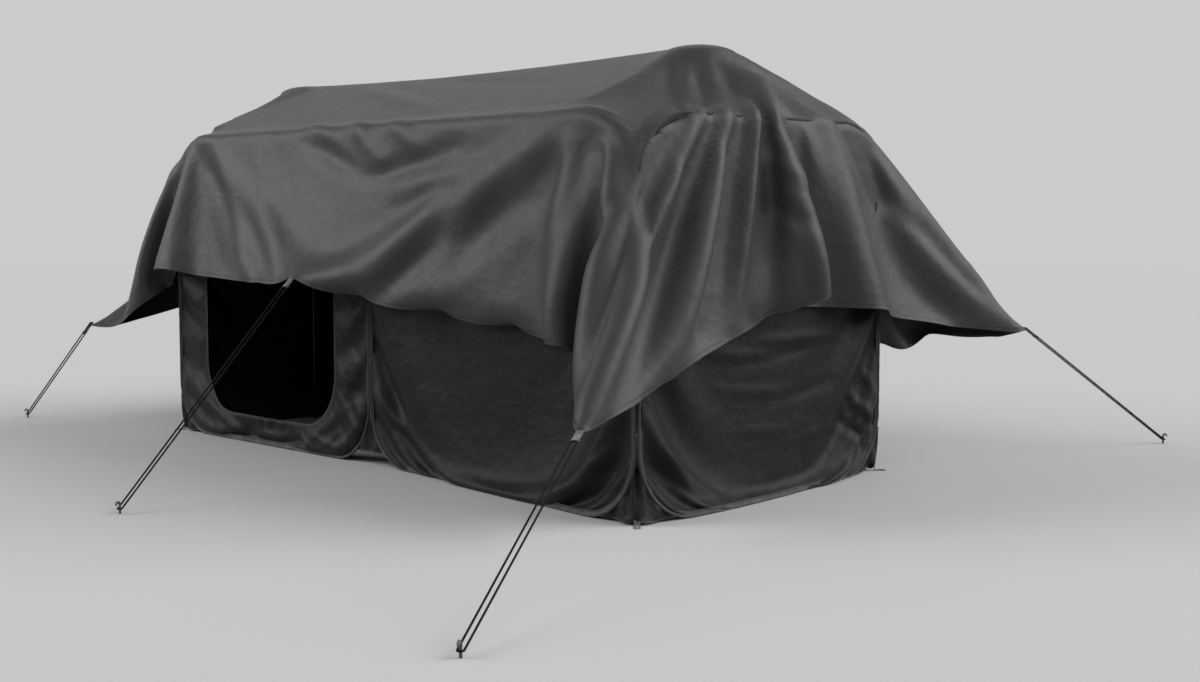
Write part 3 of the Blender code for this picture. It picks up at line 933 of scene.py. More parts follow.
@dataclass(frozen=True)
class MeshDraft:
    """Points, one a row, faces, and where each face's corners lie on a flat pattern, in the faces' order."""

    points: Array
    faces: list[list[int]]
    pattern: Array

    def build(self, name: str, material: Material, sharp: float = 50.0) -> Piece:
        """Make the mesh object, smooth, with its faces outward and no point below the ground.

        Args:
            name: the object's name.
            material: what it is made of.
            sharp: edges that turn by more degrees than this stay crisp.

        Returns:
            The new object.
        """
        points = np.array(self.points, dtype=float)
        points[:, 2] = np.maximum(points[:, 2], 0.0)
        mesh = bpy.data.meshes.new(name)
        mesh.from_pydata(points.tolist(), [], self.faces)
        layer = mesh.uv_layers.new(name=CUT_MAP)
        layer.data.foreach_set("uv", self.pattern.astype(np.float32).ravel())
        bm = bmesh.new()
        bm.from_mesh(mesh)
        bmesh.ops.remove_doubles(bm, verts=bm.verts, dist=TINY)
        bmesh.ops.recalc_face_normals(bm, faces=bm.faces)
        bm.to_mesh(mesh)
        bm.free()
        mesh.shade_smooth()
        mesh.set_sharp_from_angle(angle=math.radians(sharp))
        mesh.materials.append(material)
        return put_in_scene(name, mesh)


def unit(vectors: Array) -> Array:
    """Scale vectors, one a row, to length 1."""
    return vectors / np.maximum(np.linalg.norm(vectors, axis=-1, keepdims=True), 1e-9)


def directions(path: Array, closed: bool) -> Array:
    """Direction of a path at each of its points.

    Args:
        path: the points, one a row.
        closed: whether the last point joins the first.

    Returns:
        Unit vectors, one a row.
    """
    if closed:
        return unit(np.roll(path, -1, axis=0) - np.roll(path, 1, axis=0))
    return unit(np.gradient(path, axis=0))


def run_lengths(path: Array, closed: bool) -> Array:
    """Distance along a path to each point, with the closing step's where it is closed."""
    ends = np.vstack([path, path[:1]]) if closed else path
    return np.concatenate([[0.0], np.cumsum(np.linalg.norm(np.diff(ends, axis=0), axis=1))])


def respace(path: Array, spacing: float, closed: bool = False) -> Array:
    """Set points on a path at an even spacing.

    Args:
        path: the points, one a row.
        spacing: the distance wanted.
        closed: whether the last point joins the first.

    Returns:
        The new points, one a row.
    """
    lengths = run_lengths(path, closed)
    ends = np.vstack([path, path[:1]]) if closed else path
    count = max(2, int(round(lengths[-1] / spacing)))
    places = np.linspace(0.0, lengths[-1], count + 1)
    if closed:
        places = places[:-1]
    return np.stack([np.interp(places, lengths, ends[:, axis]) for axis in range(3)], axis=1)


def quads(index: Array, places: Array, order: tuple[tuple[int, int], ...]) -> tuple[list[list[int]], Array]:
    """Faces between neighbours on a grid of points.

    Args:
        index: the number of each point.
        places: where each lies on the pattern, in its last axis.
        order: how a face's corners step along the grid's two axes as they go round it.

    Returns:
        The faces, and the place on the pattern of each of their corners, one a row.
    """
    ends = (slice(None, -1), slice(1, None))
    faces = np.stack([index[ends[a], ends[b]] for a, b in order], axis=-1).reshape(-1, 4)
    marks = np.stack([places[ends[a], ends[b]] for a, b in order], axis=2).reshape(-1, 2)
    return faces.tolist(), marks


def sweep(path: Array, side: Array, up: Array, profile: Array, closed: bool = False) -> MeshDraft:
    """Carry a closed outline along a path, as a tube with closed ends or as a ring.

    Args:
        path: the path's points, one a row.
        side: the outline's first direction at each point.
        up: its second direction at each point.
        profile: the outline's points, the same everywhere or one outline for each point of the path.
        closed: whether the last point joins the first.

    Returns:
        The tube.
    """
    outline = np.broadcast_to(profile, (len(path), *profile.shape[-2:]))
    points = path[:, None] + side[:, None] * outline[..., :1] + up[:, None] * outline[..., 1:]
    index = np.arange(points.size // 3).reshape(points.shape[:2])
    rows = np.vstack([index, index[:1]]) if closed else index
    rows = np.hstack([rows, rows[:, :1]])
    along = run_lengths(path, closed)[: len(rows)]
    girth = run_lengths(np.pad(outline[0], ((0, 0), (0, 1))), True)
    places = np.stack(np.meshgrid(along, girth, indexing="ij"), axis=-1)
    faces, marks = quads(rows, places, ((0, 0), (0, 1), (1, 1), (1, 0)))
    if not closed:
        faces += [index[0, ::-1].tolist(), index[-1].tolist()]
        marks = np.concatenate([marks, outline[0, ::-1], outline[-1]])
    return MeshDraft(points.reshape(-1, 3), faces, marks)


def circle(radius: float, sides: int) -> Array:
    """Points of a circle, one a row."""
    angles = np.linspace(0.0, 2.0 * np.pi, sides, endpoint=False)
    return radius * np.stack([np.cos(angles), np.sin(angles)], axis=1)


def flat_band(width: float, thickness: float, steps: int = 4) -> Array:
    """Outline of a flat band with rounded edges, one point a row."""
    half, radius = width / 2.0 - thickness / 2.0, thickness / 2.0
    angles = np.linspace(-np.pi / 2.0, np.pi / 2.0, steps)
    right = np.stack([half + radius * np.cos(angles), radius * np.sin(angles)], axis=1)
    return np.concatenate([right, -right])


def spread_cloth(points: Array, flat: Array, ring: bool = False) -> MeshDraft:
    """Make the faces of a grid of cloth.

    Args:
        points: the grid's points, x, y and z first.
        flat: where each lies on the flat pattern.
        ring: whether the last column repeats the first.

    Returns:
        The cloth, without its thickness.
    """
    kept = points[:, :, :-1] if ring else points
    index = np.arange(kept[0].size).reshape(kept.shape[1:])
    if ring:
        index = np.hstack([index, index[:, :1]])
    faces, marks = quads(index, np.moveaxis(flat[:2], 0, -1), ((0, 0), (1, 0), (1, 1), (0, 1)))
    return MeshDraft(kept.reshape(3, -1).T, faces, marks)


def thicken(piece: Piece, thickness: float) -> None:
    """Give a sheet its thickness, half to each side."""
    layer = piece.modifiers.new("thickness", "SOLIDIFY")
    layer.thickness = thickness
    layer.offset = 0.0
    layer.use_even_offset = False


def hand_over(piece: Piece, slot: Slot, *nodes: str) -> None:
    """Let a finished piece ride with the tent, and hide the solids it stands for.

    Args:
        piece: the finished piece.
        slot: the slot that it takes its finish from; not used.
        nodes: the solids it replaces.
    """
    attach(piece, BODY)
    if nodes:
        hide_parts(*nodes)
    log.info("%s: %d faces", piece.name, len(piece.data.polygons))


@dataclass
class Needle:
    """Sews rows of stitches with a Geometry Nodes tree that sets one short stitch after another on a path."""

    pitch: float = 0.007
    length: float = 0.0045
    radius: float = 0.0006
    tree: Tree | None = None

    def make_tree(self) -> Tree:
        """Build the tree.

        Returns:
            The tree, with named inputs for the stitch's sizes and its material.
        """
        tree = bpy.data.node_groups.new("stitch_row", "GeometryNodeTree")
        kinds = ("Geometry", "Float", "Float", "Float", "Material")
        for label, kind in zip(("Geometry", "Pitch", "Stitch Length", "Stitch Radius", "Thread"), kinds):
            tree.interface.new_socket(label, in_out="INPUT", socket_type=f"NodeSocket{kind}")
        tree.interface.new_socket("Geometry", in_out="OUTPUT", socket_type="NodeSocketGeometry")
        wiring = Wiring(tree)
        given, result = wiring.add("NodeGroupInput").outputs, wiring.add("NodeGroupOutput").inputs
        path = wiring.add("GeometryNodeMeshToCurve", {"Mesh": given["Geometry"]}).outputs[0]
        spaced = {"Curve": path, "Length": given["Pitch"]}
        row = wiring.add("GeometryNodeResampleCurve", spaced, mode="LENGTH")
        size = {"Vertices": 6, "Radius": given["Stitch Radius"], "Depth": given["Stitch Length"]}
        stitch = wiring.add("GeometryNodeMeshCylinder", size).outputs[0]
        along = wiring.add("GeometryNodeInputTangent").outputs[0]
        turn = wiring.add("FunctionNodeAlignEulerToVector", {"Vector": along}, axis="Z").outputs[0]
        places = {"Points": row.outputs[0], "Instance": stitch, "Rotation": turn}
        copies = wiring.add("GeometryNodeInstanceOnPoints", places).outputs[0]
        real = wiring.add("GeometryNodeRealizeInstances", {"Geometry": copies}).outputs[0]
        dressed = wiring.add("GeometryNodeSetMaterial", {"Geometry": real, "Material": given["Thread"]})
        wiring.feed(result[0], dressed.outputs[0])
        return tree

    def sew(self, name: str, rows: list[tuple[Array, bool]], thread: Material) -> Piece:
        """Sew rows of stitches.

        Args:
            name: the new object's name.
            rows: the rows' paths, and whether each is closed.
            thread: the thread's material.

        Returns:
            The stitches as one mesh.
        """
        if self.tree is None:
            self.tree = self.make_tree()
        points: list[list[float]] = []
        edges: list[tuple[int, int]] = []
        for path, closed in rows:
            first = len(points)
            points.extend(path.tolist())
            edges.extend((first + step, first + step + 1) for step in range(len(path) - 1))
            if closed:
                edges.append((len(points) - 1, first))
        guide = bpy.data.meshes.new(f"{name}_guide")
        guide.from_pydata(points, edges, [])
        row = put_in_scene(f"{name}_guide", guide)
        sewing = row.modifiers.new("sewing", "NODES")
        sewing.node_group = self.tree
        values = {"Pitch": self.pitch, "Stitch Length": self.length, "Stitch Radius": self.radius,
                  "Thread": thread}
        for socket in self.tree.interface.items_tree:
            if socket.in_out == "INPUT" and socket.name in values:
                sewing[socket.identifier] = values[socket.name]
        evaluated = row.evaluated_get(bpy.context.evaluated_depsgraph_get())
        mesh = bpy.data.meshes.new_from_object(evaluated)
        bpy.data.objects.remove(row)
        mesh.name = name
        mesh.shade_smooth()
        return put_in_scene(name, mesh)


@dataclass
class Workshop:
    """What every sub-assembly needs: the form, the materials and the needle."""

    form: TentForm
    finishes: Finishes
    needle: Needle

    def make(self, name: str, slot: Slot, draft: MeshDraft, *nodes: str, sharp: float = 50.0,
             thickness: float = 0.0) -> Piece:
        """Turn a draft into a finished piece.

        Args:
            name: the piece's name.
            slot: what it is made of.
            draft: its points and faces.
            nodes: the solids it replaces.
            sharp: edges that turn by more degrees than this stay crisp.
            thickness: how thick a sheet is, or 0 for a piece that has its thickness already.

        Returns:
            The piece.
        """
        piece = draft.build(name, self.finishes.made[slot], 180.0 if thickness else sharp)
        if thickness:
            thicken(piece, thickness)
        hand_over(piece, slot, *nodes)
        return piece

    def stitch(self, name: str, rows: list[tuple[Array, bool]], needle: Needle | None = None) -> None:
        """Sew rows of dark stitches, with the workshop's own needle unless another is given."""
        hand_over((needle or self.needle).sew(name, rows, self.finishes.made[Slot.CORD]), Slot.CORD)


@dataclass(frozen=True)
class Binding:
    """A strip folded over a cloth's edge and sewn down on both faces."""

    strip: str
    stitches: str
    width: float
    thickness: float
    slot: Slot = Slot.SLEEVE
    closed: bool = True
    tip: tuple[Place, ...] = ((0.97, 0.9), (1.0, 0.0), (0.97, -0.9))
    seam: float = 0.78

    def bind(self, shop: Workshop, edge: Array, into: Array, out: Array) -> Piece:
        """Bind the edge.

        Args:
            shop: the form, the materials and the needle.
            edge: the edge's points, one a row.
            into: directions from the edge into the cloth.
            out: directions that the cloth faces.

        Returns:
            The strip's object.
        """
        half = self.thickness / 2.0
        upper = [(-0.6 * half, 0.8 * half), (0.3 * self.width, half)]
        tip = [(share * self.width, rise * half) for share, rise in self.tip]
        lower = [(across, -rise) for across, rise in upper[::-1]]
        outline = np.array([(-half, 0.0), *upper, *tip, *lower])
        strip = shop.make(self.strip, self.slot, sweep(edge, into, out, outline, self.closed))
        row = edge + into * (self.width * self.seam)
        faces = (-half - THREAD_LIFT, half + THREAD_LIFT)
        shop.stitch(self.stitches, [(row + out * rise, self.closed) for rise in faces])
        return strip


@dataclass(frozen=True)
class HoopOutline:
    """The rounded rectangle that a hoop's wire follows on its wall."""

    left: float
    right: float
    low: float
    high: float
    corner: float

    @property
    def span(self) -> tuple[float, float]:
        """How wide and how high it is."""
        return self.right - self.left, self.high - self.low

    @property
    def area(self) -> float:
        """The area inside it."""
        return self.span[0] * self.span[1] - (4.0 - math.pi) * self.corner**2

    def inset(self, depth: float) -> "HoopOutline":
        """The same outline, smaller by a depth all round."""
        return HoopOutline(self.left + depth, self.right - depth, self.low + depth, self.high - depth,
                           self.corner - depth)

    def path(self, spacing: float) -> Array:
        """Points round the outline, counterclockwise.

        Args:
            spacing: the distance between them.

        Returns:
            Places across and up the wall, one a row.
        """
        left, right = self.left + self.corner, self.right - self.corner
        low, high = self.low + self.corner, self.high - self.corner
        points = []
        for quarter, (across, up) in enumerate(((right, low), (right, high), (left, high), (left, low))):
            start = 90.0 * (quarter - 1)
            for turn in np.radians(np.linspace(start, start + 90.0, 19)):
                points.append((across + self.corner * math.cos(turn), up + self.corner * math.sin(turn), 0.0))
        return respace(np.array(points), spacing, closed=True)[:, :2]

    def half_span(self, up: Array) -> Array:
        """Half the outline's width at some heights."""
        past = np.maximum(self.low + self.corner - up, up - (self.high - self.corner))
        into = np.clip(past, 0.0, self.corner)
        lost = self.corner - np.sqrt(np.maximum(self.corner**2 - into**2, 0.0))
        return 0.5 * (self.right - self.left) - lost

    def levels(self, corner_steps: int, side_steps: int) -> Array:
        """Heights of the rows of a cloth grid, closer together in the round corners."""
        turn = 0.5 * np.pi * np.linspace(0.0, 1.0, corner_steps + 1) ** 0.75
        foot = self.low + self.corner * (1.0 - np.cos(turn))
        side = np.linspace(foot[-1], self.high - self.corner, side_steps + 1)[1:]
        head = self.low + self.high - foot[::-1][1:]
        return np.concatenate([foot, side, head])

    def grid(self, columns: int, corner_steps: int, side_steps: int) -> tuple[Array, Array]:
        """A grid of places that fills the outline.

        Args:
            columns: points across.
            corner_steps: rows in each round corner.
            side_steps: rows between the corners.

        Returns:
            Places across and places up, as two grids.
        """
        up = self.levels(corner_steps, side_steps)
        share = np.linspace(-1.0, 1.0, columns)
        across = 0.5 * (self.left + self.right) + share[:, None] * self.half_span(up)[None, :]
        return across, np.broadcast_to(up, across.shape)


@dataclass(frozen=True)
class Wall:
    """One upright side of the tent, which turns places across and up it into standing points."""

    form: TentForm
    plane: float
    runs_along_x: bool

    @property
    def outward(self) -> Array:
        """The direction that the wall faces."""
        sign = math.copysign(1.0, self.plane)
        return np.array([0.0, sign, 0.0] if self.runs_along_x else [sign, 0.0, 0.0])

    def stand(self, across: Array, up: Array) -> Array:
        """Standing points of places on the wall.

        Args:
            across: places along it.
            up: heights.

        Returns:
            A field of points.
        """
        plane = np.full_like(across, self.plane)
        parts = (across, plane, up) if self.runs_along_x else (plane, across, up)
        return self.form.settle(np.stack(parts))


@dataclass
class HoopSleeve:
    """A sewn tape sleeve round one hoop's wire, gathered a little, with the seam that holds the panel."""

    name: str
    wall: Wall
    outline: HoopOutline
    shop: Workshop
    radius: float = 0.0068
    lip: float = 0.011
    lip_thickness: float = 0.0022
    spacing: float = 0.0075
    gather: float = 0.10
    wave: float = 0.0011
    mouth: float = 24.0
    sides: int = 12
    seed: int = 1

    def frame_along(self) -> tuple[Array, Array, Array]:
        """The wire's path with its inward and outward directions.

        Returns:
            Path, inward and outward directions, one a row.
        """
        places = self.outline.path(self.spacing)
        path = self.wall.stand(places[:, 0], places[:, 1]).T
        along = directions(path, closed=True)
        inward = unit(np.cross(self.wall.outward, along))
        middle = path.mean(axis=0)
        inward *= np.sign((inward * (middle - path)).sum(axis=1, keepdims=True))
        facing = np.cross(along, inward)
        return path, inward, unit(facing) * np.sign((facing * self.wall.outward).sum(axis=1, keepdims=True))

    def gathers(self, count: int) -> tuple[Array, Array]:
        """Small steady unevenness along the sleeve.

        Args:
            count: how many points the path has.

        Returns:
            A share that swells the sleeve, and one that waves its lip, both between -1 and 1.
        """
        draw = np.random.default_rng(self.seed)
        turns = np.arange(count) / count * 2.0 * np.pi
        swell = np.zeros(count)
        wave = np.zeros(count)
        for _ in range(7):
            beats = int(draw.integers(count // 30, count // 5))
            swell += np.sin(beats * turns + draw.uniform(0.0, FULL_TURN)) / 4.0
            wave += np.sin(beats * turns + draw.uniform(0.0, FULL_TURN)) / 4.0
        return swell, wave

    def build(self) -> Piece:
        """Build the sleeve and its stitches.

        Returns:
            The sleeve's object.
        """
        path, inward, outward = self.frame_along()
        swell, wave = self.gathers(len(path))
        angles = np.radians(np.linspace(self.mouth, 360.0 - self.mouth, self.sides))
        round_part = np.stack([np.cos(angles), np.sin(angles)], axis=1) * self.radius
        outline = np.broadcast_to(round_part, (len(path), *round_part.shape)).copy()
        uneven = 1.0 + self.gather * swell[:, None] * np.sin(2.0 * angles + 0.6)[None, :]
        outline *= uneven[..., None]
        half = self.lip_thickness / 2.0
        tip = self.radius + self.lip
        lip = np.array([[tip * 0.62, -half], [tip, -half * 0.7], [tip, half * 0.7], [tip * 0.62, half]])
        lips = np.broadcast_to(lip, (len(path), 4, 2)).copy()
        lips[..., 1] += (wave * self.wave)[:, None]
        outline = np.concatenate([outline, lips], axis=1)
        tube = sweep(path, inward, outward, outline, closed=True)
        sleeve = self.shop.make(f"{self.name}_sleeve", Slot.SLEEVE, tube, f"{self.name}_hoop")
        row = path + inward * (self.radius + 0.55 * self.lip)
        outside = row + outward * (half + wave[:, None] * self.wave + 0.0002)
        self.shop.stitch(f"{self.name}_sleeve_stitches", [(outside, True)])
        return sleeve


@dataclass(frozen=True)
class Slack:
    """How much more cloth a panel has than its hoop spans."""

    across: float = 0.008
    up: float = 0.012
    foot: float = 0.012
    shear: float = 0.0


def let_hang(cloth: ClothGrid, points: Array, steps: int, rounds: int, gravity: float,
             stiffness: float) -> None:
    """Let a held sheet come to rest under its own weight.

    Args:
        cloth: the sheet as it was cut, with its held points marked.
        points: where its points are, changed in place.
        steps: how long.
        rounds: how often each step pulls every pair.
        gravity: how far each step pulls it down.
        stiffness: how strongly kinks are spread out.
    """
    cloth.tie()
    before = points.copy()
    for _ in range(steps):
        moved = points + (points - before) * (HANG_DRAG * cloth.free)
        moved[2] -= gravity * cloth.free
        before[:] = points
        points[:] = moved
        for _ in range(rounds // 4):
            cloth.relax(points, 4)
            cloth.even_out(points, stiffness)
        np.maximum(points[2], LEAST_HEIGHT, out=points[2])


# Each fold's start (how far in from the hoop's side, how high), the same for its end, its width, its depth.
FOOT_FOLDS = (
    (0.05, 0.33, 0.5, 0.06, 0.045, 0.014),
    (0.06, 0.21, 0.32, 0.05, 0.028, -0.01),
    (0.04, 0.5, 0.25, 0.22, 0.035, 0.009),
    (0.05, 0.66, 0.17, 0.4, 0.03, 0.006),
)


@dataclass(frozen=True)
class Fold:
    """One crease between two places on a cloth's pattern: a ridge, or a valley if its depth is below 0."""

    start: Place
    end: Place
    width: float
    depth: float
    fan: float = 1.0

    def lift(self, places: Array) -> Array:
        """How far the crease lifts each point out of the cloth.

        Args:
            places: the points' places on the pattern.

        Returns:
            One height for each point.
        """
        run = np.array(self.end) - np.array(self.start)
        length = float(np.hypot(run[0], run[1]))
        run /= length
        from_start = (places[0] - self.start[0], places[1] - self.start[1])
        along = np.clip((from_start[0] * run[0] + from_start[1] * run[1]) / length, 0.0, 1.0)
        aside = np.abs(from_start[0] * run[1] - from_start[1] * run[0])
        reach = self.width * (1.0 + (self.fan - 1.0) * along)
        crest = 0.5 * (1.0 + np.cos(np.pi * np.clip(aside / reach, 0.0, 1.0)))
        return self.depth * crest * np.clip(4.0 * along * (1.0 - along), 0.0, 1.0) ** 0.7


def lay_folds(*rows: tuple[float, ...]) -> tuple[Fold, ...]:
    """Make folds of rows that give both ends' places, the width, the depth and how far the fold fans out."""
    return tuple(Fold(row[:2], row[2:4], *row[4:]) for row in rows)


def soften(values: Array, rounds: int) -> Array:
    """Even out values over a sheet's grid.

    Args:
        values: the values, with the grid as the last two axes.
        rounds: how often each takes in its neighbours.

    Returns:
        The softer values.
    """
    margin = [(0, 0)] * (values.ndim - 2) + [(1, 1), (1, 1)]
    for _ in range(rounds):
        wide = np.pad(values, margin, mode="edge")
        beside = wide[..., :-2, 1:-1] + wide[..., 2:, 1:-1] + wide[..., 1:-1, :-2] + wide[..., 1:-1, 2:]
        values = 0.5 * values + 0.125 * beside
    return values


def press(points: Array, facing: Array, places: Array, folds: tuple[Fold, ...]) -> None:
    """Press creases into a cloth's points in place, along the way that its outside faces."""
    points += facing * soften(sum(fold.lift(places) for fold in folds), 2)


@dataclass
class WallPanel:
    """A cloth panel sewn into its hoop's sleeve, with the wrinkles that its spare cloth hangs in."""

    name: str
    wall: Wall
    outline: HoopOutline
    shop: Workshop
    slack: Slack
    seed: int = 1
    thickness: float = 0.0009
    tuck: float = 0.004
    columns: int = 61
    corner_steps: int = 12
    side_steps: int = 30
    ripple: float = 0.006
    bend: float = 0.15
    ring: bool = False
    stages: tuple = ((170, 12, 0.00035, 0.08), (40, 12, 0.0002, 0.18))
    quick_stages: tuple = ((10, 4, 0.0002, 0.2),)
    folds: tuple[Fold, ...] = ()

    def foot_folds(self) -> tuple[Fold, ...]:
        """The slanting folds over both lower corners, where the hoop draws the cloth tight.

        Returns:
            The creases, none of them quite alike.
        """
        draw = np.random.default_rng(self.seed + 60)
        folds = []
        for end, side in ((self.outline.left, 1.0), (self.outline.right, -1.0)):
            for high_in, high, low_in, low, width, depth in FOOT_FOLDS:
                change = draw.uniform(0.85, 1.2, 4)
                start = (end + side * high_in * change[0], high * change[1])
                foot = (end + side * low_in * change[2], low * change[1])
                folds.append(Fold(start, foot, width, depth * change[3]))
        return tuple(folds)

    def cut(self, scale: int) -> tuple[Array, Array, Array]:
        """Cut the panel at one spacing.

        Args:
            scale: how many times finer than at first.

        Returns:
            The standing points before it hangs, the pattern that it is cut to, and the places across and up.
        """
        steps = (scale * (self.columns - 1) + 1, scale * self.corner_steps, scale * self.side_steps)
        across, up = self.outline.inset(self.tuck).grid(*steps)
        standing = self.wall.stand(across, up)
        middle = 0.5 * (self.outline.left + self.outline.right)
        low = np.clip(1.0 - up / (0.45 * self.outline.high), 0.0, 1.0)
        pattern = standing.copy()
        grow = self.slack.across + self.slack.foot * low**2
        along = 0 if self.wall.runs_along_x else 1
        centre = self.wall.stand(np.full_like(up, middle), up)[along]
        pattern[along] = centre + (standing[along] - centre) * (1.0 + grow) + self.slack.shear * up
        pattern[2] = up * (1.0 + self.slack.up)
        return standing, pattern, np.stack([across, up])

    def hold(self, cloth: ClothGrid, points: Array, standing: Array) -> None:
        """Hold the cloth where it is sewn in.

        Args:
            cloth: the cloth that is about to hang.
            points: where its points are, changed in place.
            standing: where they stood before it hung.
        """
        edge = np.ones(standing.shape[1:], bool)
        edge[1:-1, 1:-1] = False
        points[:, edge] = standing[:, edge]
        cloth.free[edge] = 0.0

    def hang(self) -> tuple[Array, Array]:
        """Settle the panel.

        Returns:
            Its points, and their places across and up.
        """
        points: Array | None = None
        for number, stage in enumerate(self.stages):
            standing, pattern, places = self.cut(2**number)
            points = standing + self.first_ripple(standing) if points is None else halve_spacing(points)
            cloth = ClothGrid(pattern, shear=0.6, bend=self.bend, ring=self.ring)
            self.hold(cloth, points, standing)
            let_hang(cloth, points, *stage)
            points[:, -1] = 0.5 * (points[:, -1] + standing[:, -1])
        return points, places

    def first_ripple(self, standing: Array) -> Array:
        """A smooth unevenness that decides which way the folds fall.

        Args:
            standing: the panel's points before it hangs.

        Returns:
            A field of moves along the wall's outward direction.
        """
        draw = np.random.default_rng(self.seed)
        depth = np.zeros(standing.shape[1:])
        for _ in range(9):
            turn, beat, phase = draw.uniform(-0.9, 0.9), draw.uniform(9.0, 42.0), draw.uniform(0.0, FULL_TURN)
            across = standing[0] + standing[1]
            depth += np.sin(beat * (standing[2] * math.cos(turn) + across * math.sin(turn)) + phase) / 3.0
        return self.wall.outward[:, None, None] * depth * self.ripple

    def dress(self, points: Array, places: Array, area: float) -> Piece:
        """Press the creases in and make the panel.

        Args:
            points: the settled cloth, changed in place.
            places: where its points are on the wall.
            area: how much cloth it was cut from; not used.

        Returns:
            The panel's object.
        """
        press(points, self.wall.outward[:, None, None], places, self.foot_folds() + self.folds)
        panel = self.shop.make(f"{self.name}_cloth", Slot.TENT_CLOTH, spread_cloth(points, places, self.ring),
                               f"{self.name}_panel", thickness=self.thickness)
        return panel

    def build(self) -> Piece:
        """Settle and dress the panel."""
        return self.dress(*self.hang(), self.outline.area)


@dataclass
class DoorPanel(WallPanel):
    """The panel with the doorway: a frame of cloth round a bound opening."""

    bend: float = 0.2
    ring: bool = True
    stages: tuple = ((150, 12, 0.0002, 0.08), (40, 12, 0.0001, 0.18))
    quick_stages: tuple = ((150, 12, 0.0002, 0.08),)
    door: HoopOutline = HoopOutline(-1.38, -0.27, 0.14, 1.36, 0.25)
    around: int = 240
    rings: int = 9
    path_step: float = 0.004
    edge_freedom: float = 0.25
    binding: Binding = Binding("doorway_binding", "doorway_stitches", 0.014, 0.0030,
                               tip=((1.0, 0.8), (1.0, -0.8)), seam=0.7)

    def cut(self, scale: int) -> tuple[Array, Array, Array]:
        """Cut the frame of cloth at one spacing, from the hoop in to the opening.

        Args:
            scale: how many times finer than at first.

        Returns:
            The standing points, the pattern it is cut to, and the places across and up.
        """
        middle = (0.5 * (self.door.left + self.door.right), 0.5 * (self.door.low + self.door.high))
        loops = []
        for shape in (self.outline.inset(self.tuck), self.door):
            path = shape.path(self.path_step)
            turn = np.unwrap(np.arctan2(path[:, 1] - middle[1], path[:, 0] - middle[0]))
            turn = np.append(turn, turn[0] + 2.0 * np.pi)
            ends = np.vstack([path, path[:1]])
            wanted = 2.0 * np.pi * np.linspace(0.0, 1.0, scale * self.around + 1) - 0.25 * np.pi
            wanted = turn[0] + (wanted - turn[0]) % (2.0 * np.pi)
            loops.append(np.stack([np.interp(wanted, turn, ends[:, axis]) for axis in (0, 1)]))
        share = np.linspace(0.0, 1.0, scale * self.rings + 1)[None, :, None]
        places = loops[0][:, None, :] + (loops[1] - loops[0])[:, None, :] * share
        standing = self.wall.stand(places[0], places[1])
        pattern = standing.copy()
        pattern[0] *= 1.0 + self.slack.across
        pattern[2] *= 1.0 + self.slack.up
        return standing, pattern, places

    def hold(self, cloth: ClothGrid, points: Array, standing: Array) -> None:
        """Hold the frame of cloth at the hoop, and a little at the opening.

        Args:
            cloth: the cloth that is about to hang.
            points: where its points are, changed in place.
            standing: where they stood before it hung.
        """
        points[:, :, -1] = points[:, :, 0]
        points[:, (0, -1)] = standing[:, (0, -1)]
        cloth.free[0] = 0.0
        cloth.free[-1] = self.edge_freedom

    def build(self) -> Piece:
        """Build the cloth round the doorway and the binding on its edge.

        Returns:
            The panel's object.
        """
        points, places = self.hang()
        panel = self.dress(points, places, self.outline.area - self.door.area)
        edge, within = points[:, -1, :-1].T, points[:, -2, :-1].T
        into = unit(within - edge)
        self.binding.bind(self.shop, edge, into, unit(np.cross(directions(edge, closed=True), into)))
        return panel


